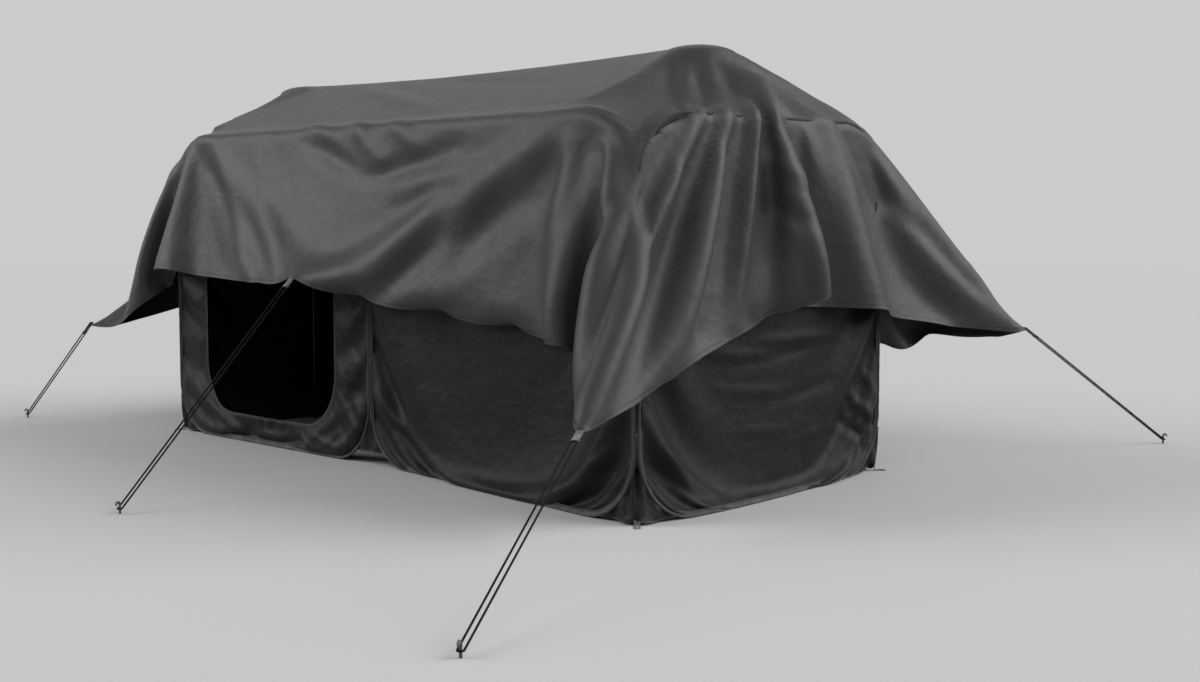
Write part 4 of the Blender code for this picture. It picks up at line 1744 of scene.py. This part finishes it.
@dataclass
class Gusset:
    """Cloth that closes the gap between two hoops' lower corners, with spare cloth that falls into folds."""

    name: str
    shop: Workshop
    side_y: float
    side_x: float = 0.0
    fold: float = 0.85
    columns: int = 33
    rows: int = 25
    first_turn: float = 12.0
    last_turn: float = 74.0
    slack: float = 0.05
    fill: float = 0.31
    unevenness: float = 0.003
    clear: float = 0.004
    thickness: float = 0.0009
    seed: int = 1

    def edges(self, turn: Array) -> tuple[Array, Array, Array]:
        """The two hoops' points and the crease's at some turns of the hoop's corner.

        Args:
            turn: angles round the hoop's corner, from its foot.

        Returns:
            Points of one hoop, of the crease and of the other hoop, before they settle.
        """
        form = self.shop.form
        height = form.hoop_radius + form.hoop_corner * (1.0 - np.cos(turn))
        inward = form.hoop_corner * (1.0 - np.sin(turn))
        plane = np.full_like(turn, self.side_y * form.half_width)
        if not self.side_x:
            reach = form.hoop_radius + inward
            one, other = np.stack([-reach, plane, height]), np.stack([reach, plane, height])
            return one, 0.5 * (one + other), other
        end_plane = np.full_like(turn, self.side_x * (form.half_length + form.end_step))
        one = np.stack([self.side_x * (form.half_length - inward), plane, height])
        other = np.stack([end_plane, self.side_y * (form.half_width - form.end_step - inward), height])
        outward = np.array([self.side_x, self.side_y, 0.0]) / math.sqrt(2.0)
        reach = self.fold * np.linalg.norm(other - one, axis=0) / 2.0
        return one, 0.5 * (one + other) + outward[:, None] * reach, other

    def hang(self) -> tuple[Array, Array, Array]:
        """Settle the gusset.

        Returns:
            Its points, where they stood before it hung, and the pattern that it is cut to.
        """
        turn = np.radians(np.linspace(self.first_turn, self.last_turn, self.rows))
        one, crease, other = self.edges(turn)
        share = np.abs(np.linspace(-1.0, 1.0, self.columns))[:, None]
        middle = self.columns // 2
        hoop = np.where(np.arange(self.columns)[:, None] < middle, one[:, None], other[:, None])
        standing = self.shop.form.settle(crease[:, None] + (hoop - crease[:, None]) * share)
        pattern = standing.copy()
        centre = standing.mean(axis=1, keepdims=True)
        pattern[:2] = centre[:2] + (standing[:2] - centre[:2]) * (1.0 + self.slack)
        points = standing.copy()
        draw = np.random.default_rng(self.seed)
        points[:2, 1:-1, 1:-1] += draw.normal(0.0, self.unevenness, points[:2, 1:-1, 1:-1].shape)
        cloth = ClothGrid(pattern, shear=0.5, bend=0.2)
        cloth.free[0] = cloth.free[-1] = 0.0
        if self.side_x:
            cloth.free[middle, :3] = 0.0
        let_hang(cloth, points, 120, 12, 0.0002, 0.12)
        points[2] = np.maximum(points[2], self.clear)
        return points, standing, pattern

    def build(self) -> Piece:
        """Build the gusset and the binding along its foot.

        Returns:
            The gusset's object.
        """
        points, standing, pattern = self.hang()
        middle = self.columns // 2
        across = run_lengths(standing[:, :, 0].T, False)
        rise = float(np.linalg.norm(standing[:, middle, -1] - standing[:, middle, 0]))
        flat = np.stack(np.meshgrid(across, np.linspace(0.0, rise, self.rows), indexing="ij"))
        piece = self.shop.make(f"{self.name}_fold", Slot.TENT_CLOTH, spread_cloth(points, flat),
                               f"{self.name}_gusset", thickness=self.thickness)
        self.rest()
        edge = points[:, :, 0].T
        into = unit(points[:, :, 1].T - edge)
        hem = Binding(f"{self.name}_hem", f"{self.name}_hem_stitches", 0.010, 0.0024, closed=False)
        hem.bind(self.shop, edge, into, unit(np.cross(directions(edge, False), into)))
        return piece

    def rest(self) -> str:
        """The sleeve that the gusset is sewn to."""
        wall, side = self.name.split("_")
        return f"{wall}_{'left' if side == 'middle' else side}_sleeve"


@dataclass
class GroundStrap:
    """The webbing at a corner's foot: down the gusset's crease and out along the ground."""

    name: str
    shop: Workshop
    side_x: float
    side_y: float
    width: float = 0.024
    thickness: float = 0.0018
    reach: float = 0.052
    lead: float = 0.022
    stand_off: float = 0.0175
    bend: float = 0.006
    billow: float = 0.0025

    def build(self) -> Piece:
        """Build the strap.

        Returns:
            The strap's object.
        """
        low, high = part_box(f"{self.name}_strap")
        out = np.array([self.side_x, self.side_y, 0.0]) / math.sqrt(2.0)
        foot = np.array([low[0] if self.side_x > 0 else high[0], low[1] if self.side_y > 0 else high[1], 0.0])
        start = foot + out * self.stand_off
        lift = self.thickness / 2.0 + 0.0002
        path = [start + UP * self.lead, start + UP * (0.6 * self.lead)]
        for turn in np.radians(np.linspace(0.0, 90.0, 7)):
            corner = out * (1.0 - math.cos(turn)) + UP * (1.0 - math.sin(turn))
            path.append(start + UP * lift + self.bend * corner)
        for share in np.linspace(0.2, 1.0, 8):
            rise = self.billow * math.sin(math.pi * share) ** 2 * (1.0 if share < 0.9 else 0.4)
            path.append(start + out * (self.bend + (self.reach - self.bend) * share) + UP * (lift + rise))
        points = np.array(path)
        side = np.broadcast_to(np.array([-out[1], out[0], 0.0]), points.shape)
        facing = unit(np.cross(directions(points, False), side))
        strap = self.shop.make(f"{self.name}_ground_strap", Slot.WEBBING,
                               sweep(points, side, facing, flat_band(self.width, self.thickness)),
                               f"{self.name}_strap")
        middle = points[9:-1] + UP * lift
        aside = side[9:-1] * (self.width * 0.38)
        self.shop.stitch(f"{self.name}_strap_stitches", [(middle - aside, False), (middle + aside, False)])
        return strap


# Where the guys hold the tarp.
TIE_OUTS: dict[str, Point] = {
    "front_right": (1.990, -1.352, 0.395),
    "front_middle": (-0.125, -1.065, 0.838),
    "front_left": (-2.247, -0.953, 0.526),
    "back_left": (-2.280, 1.580, 0.490),
    "back_middle": (-0.040, 1.100, 0.570),
    "back_right": (1.845, 1.645, 0.579),
}
# Where the pegs stand on the ground.
PEGS: dict[str, Place] = {
    "front_right": (2.700, -2.430),
    "front_middle": (0.309, -2.113),
    "front_left": (-2.691, -1.110),
    "back_left": (-2.500, 2.250),
    "back_middle": (-0.200, 2.100),
    "back_right": (2.135, 2.4275),
}


TARP_FOLDS = lay_folds(
    (1.5, -0.82, 0.0, -1.69, 0.15, 0.036),
    (-1.4, -1.0, 0.06, -1.69, 0.11, 0.018),
    (1.4, -1.02, 0.8, -1.45, 0.15, -0.026),
    (-1.3, -1.06, -0.7, -1.62, 0.1, -0.022),
    (-1.62, -1.0, -1.55, -1.69, 0.08, 0.016),
    (-0.45, -0.98, 0.15, -1.16, 0.065, -0.022),
    (0.1, -1.17, 0.8, -0.98, 0.065, -0.022),
    (-0.1, -0.86, 0.28, -1.12, 0.06, 0.02),
    (0.2, -0.88, 0.55, -1.05, 0.055, 0.016),
    (-0.55, -0.86, -0.1, -1.02, 0.055, 0.016),
    (0.3, -1.22, 0.95, -1.06, 0.07, 0.018),
    (-0.9, -0.3, 0.3, -0.7, 0.09, 0.014),
    (-0.6, -0.18, 0.9, -0.45, 0.08, -0.012),
    (1.56, -0.98, 1.56, -1.76, 0.09, 0.04, 1.2),
    (1.8, -1.04, 1.88, -1.76, 0.1, -0.065, 1.3),
    (1.6, -0.4, 2.5, -1.66, 0.075, 0.059, 1.3),
    (1.8, -0.85, 2.36, -1.66, 0.075, -0.054, 1.3),
    (1.72, -0.45, 2.53, -1.36, 0.07, -0.049, 1.5),
    (1.58, -0.22, 2.53, -1.12, 0.065, 0.059, 1.6),
    (1.74, -0.26, 2.53, -0.86, 0.07, -0.054, 1.6),
    (1.58, -0.1, 2.53, -0.62, 0.065, 0.062, 1.5),
    (1.74, -0.12, 2.53, -0.4, 0.06, -0.054, 1.5),
    (1.48, 0.02, 2.56, -0.13, 0.065, 0.07, 1.5),
    (1.76, 0.1, 2.54, 0.12, 0.07, -0.041, 1.5),
    (1.8, -0.02, 1.98, -0.2, 0.05, -0.026),
    (1.9, -0.22, 2.1, -0.06, 0.05, 0.022),
    (2.06, -0.28, 2.26, -0.12, 0.05, -0.02),
    (1.72, 0.36, 2.08, 0.76, 0.07, -0.026, 1.3),
    (1.95, 0.62, 2.5, 1.62, 0.08, -0.026, 1.2),
    (1.5, 0.22, 2.5, 0.54, 0.11, 0.022, 1.4),
    (2.2, 1.1, 2.5, 2.0, 0.07, 0.014),
    (-1.8, -0.45, -2.46, -1.62, 0.085, 0.036, 1.4),
    (-1.95, -0.4, -2.5, -1.2, 0.085, -0.034, 1.4),
    (-1.8, -0.1, -2.5, -0.7, 0.075, 0.032, 1.4),
    (-1.95, 0.2, -2.5, 0.8, 0.075, -0.032, 1.4),
    (-1.8, 0.35, -2.46, 1.62, 0.085, 0.034, 1.4),
    (-1.3, 1.0, -0.28, 1.66, 0.11, 0.022),
    (1.2, 0.95, -0.1, 1.66, 0.12, 0.026),
    (1.6, 0.45, 2.46, 1.62, 0.085, 0.03, 1.4),
)


@dataclass
class RainTarp:
    """The rain tarp, draped over the hoops and the pole caps and drawn out at six tie-outs."""

    shop: Workshop
    length: float = 5.065
    width: float = 3.40
    thickness: float = 0.0011
    columns: int = 62
    rows: int = 41
    seed: int = 5
    cap_tops: tuple[Place, ...] = ((-1.55, 1.802), (1.28, 1.806))
    left_crown: Place = (-1.5325, -0.235)
    right_crown: Place = (1.2925, -0.05)
    guess_slope: float = 0.33

    @property
    def half(self) -> tuple[float, float]:
        """Half the length and half the width that it was cut to."""
        return self.length / 2.0, self.width / 2.0

    def ties(self) -> dict[str, tuple[Place, Point]]:
        """Where on the cut each tie-out is, and where its guy holds it."""
        across, up = self.half
        cut = {"front_right": (across, -up), "front_middle": (-0.03, -up), "front_left": (-across, -up),
               "back_left": (-across, up), "back_middle": (-0.22, up), "back_right": (across, up)}
        held = {name: (cut[name], place) for name, place in TIE_OUTS.items()}
        crowns = (self.left_crown, self.right_crown)
        for side, flat, (cap_x, cap_top) in zip(("left", "right"), crowns, self.cap_tops):
            held[f"{side}_crown"] = (flat, (cap_x, 0.0, cap_top))
        return held

    def guides(self) -> dict[str, tuple[Place, Point]]:
        """Where the hem hangs between the tie-outs: against the walls and in the two hollow pleats."""
        across, up = self.half
        return {
            "front_hem_left": ((-1.68, -up), (-1.70, -0.80, 0.900)),
            "left_flap": ((-1.9375, -up), (-1.72, -0.83, 0.763)),
            "front_hem_return": ((0.34, -up), (0.32, -0.84, 0.770)),
            "front_hem_middle": ((0.78, -up), (0.76, -0.81, 0.740)),
            "front_hem_right": ((1.21, -up), (1.19, -0.80, 0.712)),
            "skirt_end": ((1.39, -up), (1.345, -0.865, 0.635)),
            "skirt_fold": ((1.57, -up), (1.480, -0.945, 0.560)),
            "fold_back": ((1.88, -up), (1.600, -0.830, 0.640)),
            "end_pleat_near": ((across, -up + 1.30), (1.70, -0.07, 0.747)),
            "end_pleat_tip": ((across, -up + 1.60), (1.80, 0.205, 0.776)),
            "end_pleat_far": ((across, up - 1.44), (1.69, 0.27, 0.722)),
            "left_pleat_near": ((-across, -0.60), (-1.78, -0.16, 0.800)),
            "left_pleat_tip": ((-across, -0.20), (-1.93, 0.08, 0.840)),
            "left_pleat_far": ((-across, 0.20), (-1.78, 0.22, 0.780)),
            "back_hem_right": ((1.21, up), (1.21, 0.83, 0.600)),
            "back_hem_left": ((-1.45, up), (-1.47, 0.83, 0.410)),
            "back_rim_right": ((1.20, 0.77), (1.20, 0.765, 1.513)),
            "back_rim_middle": ((0.60, 0.72), (0.60, 0.765, 1.513)),
            "back_fold_near": ((1.45, up), (1.40, 0.86, 0.590)),
            "back_fold": ((1.70, up), (1.55, 0.93, 0.560)),
            "back_fold_far": ((1.95, up), (1.62, 0.90, 0.620)),
        }

    def cut(self, columns: int, rows: int) -> Array:
        """The flat tarp as a grid of places."""
        across, up = self.half
        places = (np.linspace(-across, across, columns), np.linspace(-up, up, rows))
        return np.stack(np.meshgrid(*places, indexing="ij")).astype(np.float32)

    def first_guess(self, flat: Array) -> Array:
        """Lay the flat tarp as a plain roof over the ridge, before it settles.

        Args:
            flat: its places on the cutting table.

        Returns:
            A field of points.
        """
        left, right = np.array(self.left_crown), np.array(self.right_crown)
        span = float(np.linalg.norm(right - left))
        ridge = (right - left) / span
        from_left = flat - left[:, None, None]
        along = ridge[0] * from_left[0] + ridge[1] * from_left[1]
        aside = ridge[0] * from_left[1] - ridge[1] * from_left[0]
        on_ridge = np.clip(along, 0.0, span)
        past = along - on_ridge
        tops = [np.array([cap_x, 0.0, cap_top]) for cap_x, cap_top in self.cap_tops]
        points = tops[0][:, None, None] + (tops[1] - tops[0])[:, None, None] * (on_ridge / span)
        points[0] += past * math.cos(self.guess_slope)
        points[1] += aside * math.cos(self.guess_slope)
        points[2] -= np.hypot(past, aside) * math.sin(self.guess_slope)
        return np.ascontiguousarray(points).astype(np.float32)

    def settle(self) -> tuple[Array, Array]:
        """Drape the tarp.

        Returns:
            Its points, and their places on the flat cut.
        """
        stages = [
            DrapeStage(400, 20, 0.0004, 0.03, 0.6, 200, 0.004),
            DrapeStage(180, 20, 0.0003, 0.07, 0.5, 0, 0.0020),
            DrapeStage(60, 20, 0.0002, 0.12, 0.2, 0, 0.0006),
        ]
        bed = TarpBed(self.shop.form, self.cap_tops)
        pull_in = Nudge((1.40, -0.85, 1.1), (1.75, -0.50, 1.6), (-0.001, 0.001, -0.001))
        columns, rows = self.columns, self.rows
        points: Array | None = None
        for number, stage in enumerate(stages):
            flat = self.cut(columns, rows)
            points = self.first_guess(flat) if points is None else halve_spacing(points)
            cloth = ClothGrid(flat, shear=0.5, bend=0.1)
            sheet = DrapedSheet(self.ties(), self.guides(), bed, self.seed + number)
            sheet.settle(cloth, points, stage, pull_in if number < 2 else None)
            columns, rows = 2 * columns - 1, 2 * rows - 1
        return points.astype(float), flat.astype(float)

    def build(self) -> Piece:
        """Drape the tarp, bind its hem and dress it.

        Returns:
            The tarp's object.
        """
        points, flat = self.settle()
        press(points, soften(np.moveaxis(self.facing(points), -1, 0), 6), flat, TARP_FOLDS)
        TarpBed(self.shop.form, self.cap_tops).push_out(points, points.copy(), 0.0)
        tarp = self.shop.make("draped_tarp", Slot.TARP_CLOTH, spread_cloth(points, flat), "rain_tarp",
                              thickness=self.thickness)
        hem = self.hem(points)
        return tarp

    def facing(self, points: Array) -> Array:
        """The way that the tarp's outside faces at each point, in the last axis."""
        grid = points.transpose(1, 2, 0)
        return unit(np.cross(np.gradient(grid, axis=0), np.gradient(grid, axis=1)))

    def hem(self, points: Array) -> Piece:
        """Turn the tarp's edge over and sew it.

        Args:
            points: the settled tarp.

        Returns:
            The hem's object.
        """
        grid = points.transpose(1, 2, 0)
        count_u, count_v = grid.shape[:2]
        ring = [(step, 0) for step in range(count_u - 1)]
        ring += [(count_u - 1, step) for step in range(count_v - 1)]
        ring += [(step, count_v - 1) for step in range(count_u - 1, 0, -1)]
        ring += [(0, step) for step in range(count_v - 1, 0, -1)]
        rows, cols = np.array(ring).T
        edge = grid[rows, cols]
        within = grid[np.clip(rows, 1, count_u - 2), np.clip(cols, 1, count_v - 2)]
        out = self.facing(points)[rows, cols]
        into = within - edge
        into = unit(into - out * (into * out).sum(axis=1, keepdims=True))
        strip = Binding("tarp_hem", "tarp_hem_stitches", 0.020, 0.0030, Slot.TARP_CLOTH)
        return strip.bind(self.shop, edge, into, out)


@dataclass
class TieOut:
    """One tie-out: the webbing tab on the tarp, the doubled cord from it, and the peg that holds the cord."""

    name: str
    shop: Workshop
    tab_width: float = 0.025
    tab_length: float = 0.060
    tab_thickness: float = 0.0016
    tab_seat: float = 0.0012
    tab_overlap: float = 0.020
    tab_gap: float = 0.0010
    play: float = 0.0004
    touch_gap: float = 0.0003
    cord_radius: float = 0.0034
    cord_spread: float = 0.011
    peg_radius: float = 0.005
    peg_stem: float = 0.034
    peg_hook: float = 0.011
    cord_height: float = 0.020
    box_near: float = 0.004
    box_far: float = 0.030
    rib: float = 0.06
    taper_from: float = 0.85
    taper: float = 0.35

    def __post_init__(self) -> None:
        """Work out the guy's two ends and directions."""
        self.tie = np.array(TIE_OUTS[self.name])
        self.foot = np.array([*PEGS[self.name], 0.0])
        self.low_end = self.foot + UP * self.cord_height
        self.along = unit(self.low_end - self.tie)
        self.across = unit(np.array([-self.along[1], self.along[0], 0.0]))
        self.up = unit(np.cross(self.across, self.along))
        self.up *= math.copysign(1.0, self.up[2])
        self.level = unit(np.array([self.along[0], self.along[1], 0.0]))

    def build(self) -> None:
        """Build the tab, the cord and the peg."""
        self.build_tab()
        self.build_cord()
        self.build_peg()

    def build_tab(self) -> None:
        """Fold the tab's webbing round the cord and sew its two legs together."""
        start = self.tie - self.along * self.tab_overlap
        half_gap = self.tab_thickness * 0.5 + self.tab_gap
        bend = self.cord_radius + self.tab_thickness / 2.0 + self.play
        turn_at = self.tie + self.along * (self.tab_seat + self.tab_length)
        top = [start + (turn_at - start) * share + self.up * half_gap for share in np.linspace(0.0, 0.75, 7)]
        for turn in np.radians(np.linspace(120.0, 0.0, 8)):
            top.append(turn_at + bend * (self.up * math.sin(turn) + self.along * math.cos(turn)))
        bottom = [point - self.up * (2.0 * np.dot(point - self.tie, self.up)) for point in top[-2::-1]]
        path = np.array(top + bottom)
        side = np.broadcast_to(self.across, path.shape)
        facing = unit(np.cross(directions(path, False), side))
        self.shop.make(f"{self.name}_tie_tab", Slot.WEBBING,
                       sweep(path, side, facing, flat_band(self.tab_width, self.tab_thickness)),
                       f"{self.name}_tab")
        self.stitch_tab(start, half_gap + self.tab_thickness / 2.0)

    def stitch_tab(self, start: Array, lift: float) -> None:
        """Sew a box with a cross in it through the tab's two legs.

        Args:
            start: the tab's end on the tarp.
            lift: how far its outsides stand from the tarp.
        """
        half = self.across * (self.tab_width * 0.36)
        near, far = start + self.along * self.box_near, start + self.along * self.box_far
        corners = np.array([near - half, near + half, far + half, far - half])
        seams = (self.up * lift, -self.up * lift)
        rows = [(respace(corners, 0.006, True) + seam, True) for seam in seams]
        for line in (corners[[0, 2]], corners[[1, 3]]):
            rows += [(line + seam, False) for seam in seams]
        needle = Needle(0.0045, 0.0032, 0.0005, self.shop.needle.tree)
        self.shop.stitch(f"{self.name}_tab_stitches", rows, needle)

    def build_cord(self) -> None:
        """Lead the doubled cord from the tab down round the peg and back."""
        top = self.tab_seat + self.tab_length + self.touch_gap + self.cord_radius + self.cord_spread
        high = self.tie + self.along * top
        loop = self.peg_radius + self.cord_radius + self.touch_gap + self.play
        ends = np.linspace(0.0, np.pi, 13)
        down = np.linspace(0.0, 1.0, 60)[1:-1]
        points = []
        for turn in ends:
            aside = self.across * math.cos(turn) - self.along * math.sin(turn)
            points.append(high + self.cord_spread * aside)
        points += [self.strand(high, share, loop, -1.0) for share in down]
        for turn in ends:
            points.append(self.low_end + loop * (self.level * math.sin(turn) - self.across * math.cos(turn)))
        points += [self.strand(high, share, loop, 1.0) for share in down[::-1]]
        path = np.array(points)
        along = directions(path, True)
        side = unit(np.cross(along, self.up))
        cord = sweep(path, side, unit(np.cross(side, along)), circle(self.cord_radius, 8), closed=True)
        self.shop.make(f"{self.name}_guy_cord", Slot.CORD, cord, f"{self.name}_guy")

    def strand(self, high: Array, share: float, loop: float, side: float) -> Array:
        """A point on one strand, a share of the way down; the loop is half the strands' gap at the peg."""
        width = self.cord_spread + (loop - self.cord_spread) * share
        return high + (self.low_end - high) * share + self.across * (side * width)

    def build_peg(self) -> None:
        """Build the peg's hooked head, with its ribs and its tapered tip."""
        centre = self.foot + self.level * self.peg_hook + UP * self.peg_stem
        path = [self.foot + UP * height for height in np.linspace(0.0, self.peg_stem, 12)]
        for turn in np.radians(np.linspace(12.0, 180.0, 15)):
            path.append(centre + self.peg_hook * (UP * math.sin(turn) - self.level * math.cos(turn)))
        points = np.array(path)
        side = np.broadcast_to(np.cross(self.level, UP), points.shape)
        share = np.linspace(0.0, 1.0, len(points))
        ribs = 1.0 - self.rib * (np.arange(len(points)) % 2)
        past = np.clip((share - self.taper_from) / (1.0 - self.taper_from), 0.0, 1.0)
        outline = circle(self.peg_radius, 10)[None] * ((1.0 - self.taper * past) * ribs)[:, None, None]
        peg = sweep(points, side, unit(np.cross(directions(points, False), side)), outline)
        self.shop.make(f"{self.name}_hook_peg", Slot.PEG_PLASTIC, peg, f"{self.name}_peg", sharp=35.0)


@dataclass
class RidgePoles:
    """The two upright poles and their caps, whose solids stay as they are."""

    shop: Workshop

    def dress(self) -> None:
        """Give the poles and the caps their materials."""
        for side in ("left", "right"):
            for part, slot in (("ridge_pole", Slot.POLE_METAL), ("pole_cap", Slot.PEG_PLASTIC)):
                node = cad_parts[f"{side}_{part}"]
                if not node.material_slots:
                    node.data.materials.append(None)
                for holder in node.material_slots:
                    holder.material = self.shop.finishes.made[slot]
                log.info("%s dressed", node.name)


PLAIN_FOLDS = lay_folds(
    (-0.3, 0.5, 0.25, 0.58, 0.03, 0.006),
    (-0.2, 0.4, 0.4, 0.43, 0.03, -0.006),
    (-0.45, 0.1, 0.5, 0.06, 0.04, 0.01),
)

WALL_FOLDS = {
    "front_left": lay_folds(
        (-1.6, 0.34, -1.12, 0.06, 0.035, 0.014),
        (-1.61, 0.24, -1.25, 0.05, 0.025, -0.012),
        (-1.62, 0.46, -1.4, 0.22, 0.03, 0.01),
        (-0.25, 0.46, -0.03, 0.18, 0.03, 0.012),
        (-0.27, 0.34, -0.04, 0.1, 0.028, 0.012),
        (-0.29, 0.24, -0.1, 0.05, 0.024, -0.01),
        (-0.5, 0.12, -0.14, 0.04, 0.024, 0.008),
        (-0.25, 0.62, -0.04, 0.45, 0.024, -0.007),
        (-0.25, 0.8, -0.05, 0.62, 0.024, 0.005),
    ),
    "front_right": lay_folds(
        (0.05, 0.34, 0.72, 0.03, 0.05, 0.02),
        (0.05, 0.46, 0.38, 0.12, 0.035, -0.012),
        (0.05, 0.62, 0.3, 0.24, 0.035, 0.01),
        (0.05, 0.8, 0.22, 0.5, 0.03, 0.006),
        (0.9, 0.07, 1.58, 0.16, 0.05, 0.014),
    ),
    "right_end": lay_folds(
        (-0.68, 0.52, -0.5, 0.3, 0.024, 0.0108),
        (-0.68, 0.42, -0.46, 0.18, 0.024, -0.0121),
        (-0.67, 0.32, -0.42, 0.1, 0.024, 0.0121),
        (-0.66, 0.22, -0.38, 0.05, 0.022, -0.0108),
        (-0.35, 0.64, 0.1, 0.6, 0.026, 0.0108),
        (-0.2, 0.58, 0.3, 0.63, 0.024, -0.0108),
        (-0.1, 0.67, 0.45, 0.66, 0.026, 0.0135),
        (-0.3, 0.5, 0.15, 0.46, 0.024, 0.0081),
        (-0.05, 0.42, 0.42, 0.48, 0.024, -0.0081),
        (-0.25, 0.34, 0.2, 0.31, 0.022, 0.0068),
        (0.05, 0.26, 0.5, 0.3, 0.022, 0.0068),
        (-0.4, 0.05, 0.6, 0.09, 0.05, 0.0216),
        (0.5, 0.44, 0.69, 0.16, 0.03, 0.0175),
        (0.42, 0.34, 0.66, 0.08, 0.028, -0.0149),
        (0.6, 0.56, 0.69, 0.3, 0.024, 0.0108),
    ),
}


@dataclass
class TentBody:
    """The sewn body: six hooped panels, the gussets between them and the straps at their feet."""

    shop: Workshop

    def hoops(self) -> list[tuple[str, Wall, HoopOutline, Slack]]:
        """Name, wall, outline and spare cloth of each panel.

        Returns:
            One row for each panel.
        """
        form = self.shop.form
        leg = form.hoop_radius + form.touch_gap / 2.0
        low, high = form.hoop_radius, form.height - form.hoop_radius
        end_half = form.half_width - form.end_step
        end_plane = form.half_length + form.end_step
        spans = {"left": (-form.half_length, -leg), "right": (leg, form.half_length)}
        rows = []
        for wall_name, plane in (("front", -form.half_width), ("back", form.half_width)):
            wall = Wall(form, plane, True)
            for side, (left, right) in spans.items():
                outline = HoopOutline(left, right, low, high, form.hoop_corner)
                rows.append((f"{wall_name}_{side}", wall, outline, Slack(0.008, 0.010, 0.016, 0.004)))
        for side, sign in (("left", -1.0), ("right", 1.0)):
            wall = Wall(form, sign * end_plane, False)
            outline = HoopOutline(-end_half, end_half, low, high, form.hoop_corner)
            rows.append((f"{side}_end", wall, outline, Slack(0.006, 0.018, 0.012, 0.0)))
        return rows

    def build(self) -> None:
        """Build the body's pieces."""
        for seed, (name, wall, outline, slack) in enumerate(self.hoops(), start=1):
            HoopSleeve(name, wall, outline, self.shop, seed=seed).build()
            kind = DoorPanel if name == "front_left" else WallPanel
            folds = WALL_FOLDS.get(name, PLAIN_FOLDS)
            kind(name, wall, outline, self.shop, slack, seed=20 + seed, folds=folds).build()
        for side_y, wall in ((-1.0, "front"), (1.0, "back")):
            Gusset(f"{wall}_middle", self.shop, side_y, columns=21, rows=21, first_turn=36.0, last_turn=80.0,
                   seed=31).build()
            for side_x, side in ((-1.0, "left"), (1.0, "right")):
                Gusset(f"{wall}_{side}", self.shop, side_y, side_x, seed=41).build()
                GroundStrap(f"{wall}_{side}", self.shop, side_x, side_y).build()


@dataclass(frozen=True)
class Studio:
    """The plain pale studio, its soft lights and the camera."""

    camera_place: Point = (5.738, -4.889, 1.098)
    camera_yaw: float = 2.3719
    camera_pitch: float = -0.0776
    lens: float = 47.587
    sensor: float = 36.0
    floor_half: float = 30.0
    air: float = 0.60
    paint: StudioPaint = StudioPaint("studio_floor", (0.34, 0.34, 0.34))
    # Each light's name, the way to it, how many degrees it spans and its strength.
    lights: tuple[tuple[str, Point, float, float], ...] = (
        ("key_light", (4.8, 5.2, 4.4), 50.0, 3.6),
        ("sky_light", (-5.0, -5.2, 3.6), 34.0, 2.4),
        ("fill_light", (5.0, -3.0, 5.0), 40.0, 0.7),
    )

    def build(self) -> None:
        """Lay the floor, hang the lights and set the camera."""
        half = self.floor_half
        corners = np.array([[-half, -half, 0.0], [half, -half, 0.0], [half, half, 0.0], [-half, half, 0.0]])
        draft = MeshDraft(corners, [[0, 1, 2, 3]], corners[:, :2])
        draft.build("studio_floor", self.paint.material())
        world = bpy.data.worlds.new("studio_air")
        world.use_nodes = True
        background = world.node_tree.nodes["Background"]
        background.inputs["Color"].default_value = (1.0, 1.0, 1.0, 1.0)
        background.inputs["Strength"].default_value = self.air
        bpy.context.scene.world = world
        bpy.context.scene.view_settings.view_transform = "Standard"
        for name, towards, spread, strength in self.lights:
            lamp = bpy.data.lights.new(name, "SUN")
            lamp.angle = math.radians(spread)
            lamp.energy = strength
            self.aim(name, lamp, towards, -Vector(towards))
        camera = bpy.data.cameras.new("camera")
        camera.lens = self.lens
        camera.sensor_width = self.sensor
        flat = math.cos(self.camera_pitch)
        level = (flat * math.cos(self.camera_yaw), flat * math.sin(self.camera_yaw))
        holder = self.aim("camera", camera, self.camera_place, Vector((*level, math.sin(self.camera_pitch))))
        bpy.context.scene.camera = holder

    def aim(self, name: str, data: bpy.types.ID, place: Point, forward: Vector) -> Piece:
        """Put the camera or a light in its place and turn it.

        Args:
            name: its name.
            data: the camera or the lamp.
            place: where it stands.
            forward: the way that it looks or shines.

        Returns:
            Its object.
        """
        holder = put_in_scene(name, data)
        holder.location = place
        holder.rotation_euler = forward.to_track_quat("-Z", "Y").to_euler()
        return holder


def main() -> None:
    """Build the tent's pieces in order."""
    logging.basicConfig(level=logging.INFO, format="%(message)s")
    Studio().build()
    shop = Workshop(TentForm(), Finishes(), Needle())
    TentBody(shop).build()
    RainTarp(shop).build()
    for name in TIE_OUTS:
        TieOut(name, shop).build()
    RidgePoles(shop).dress()


if __name__ == "__main__":
    main()
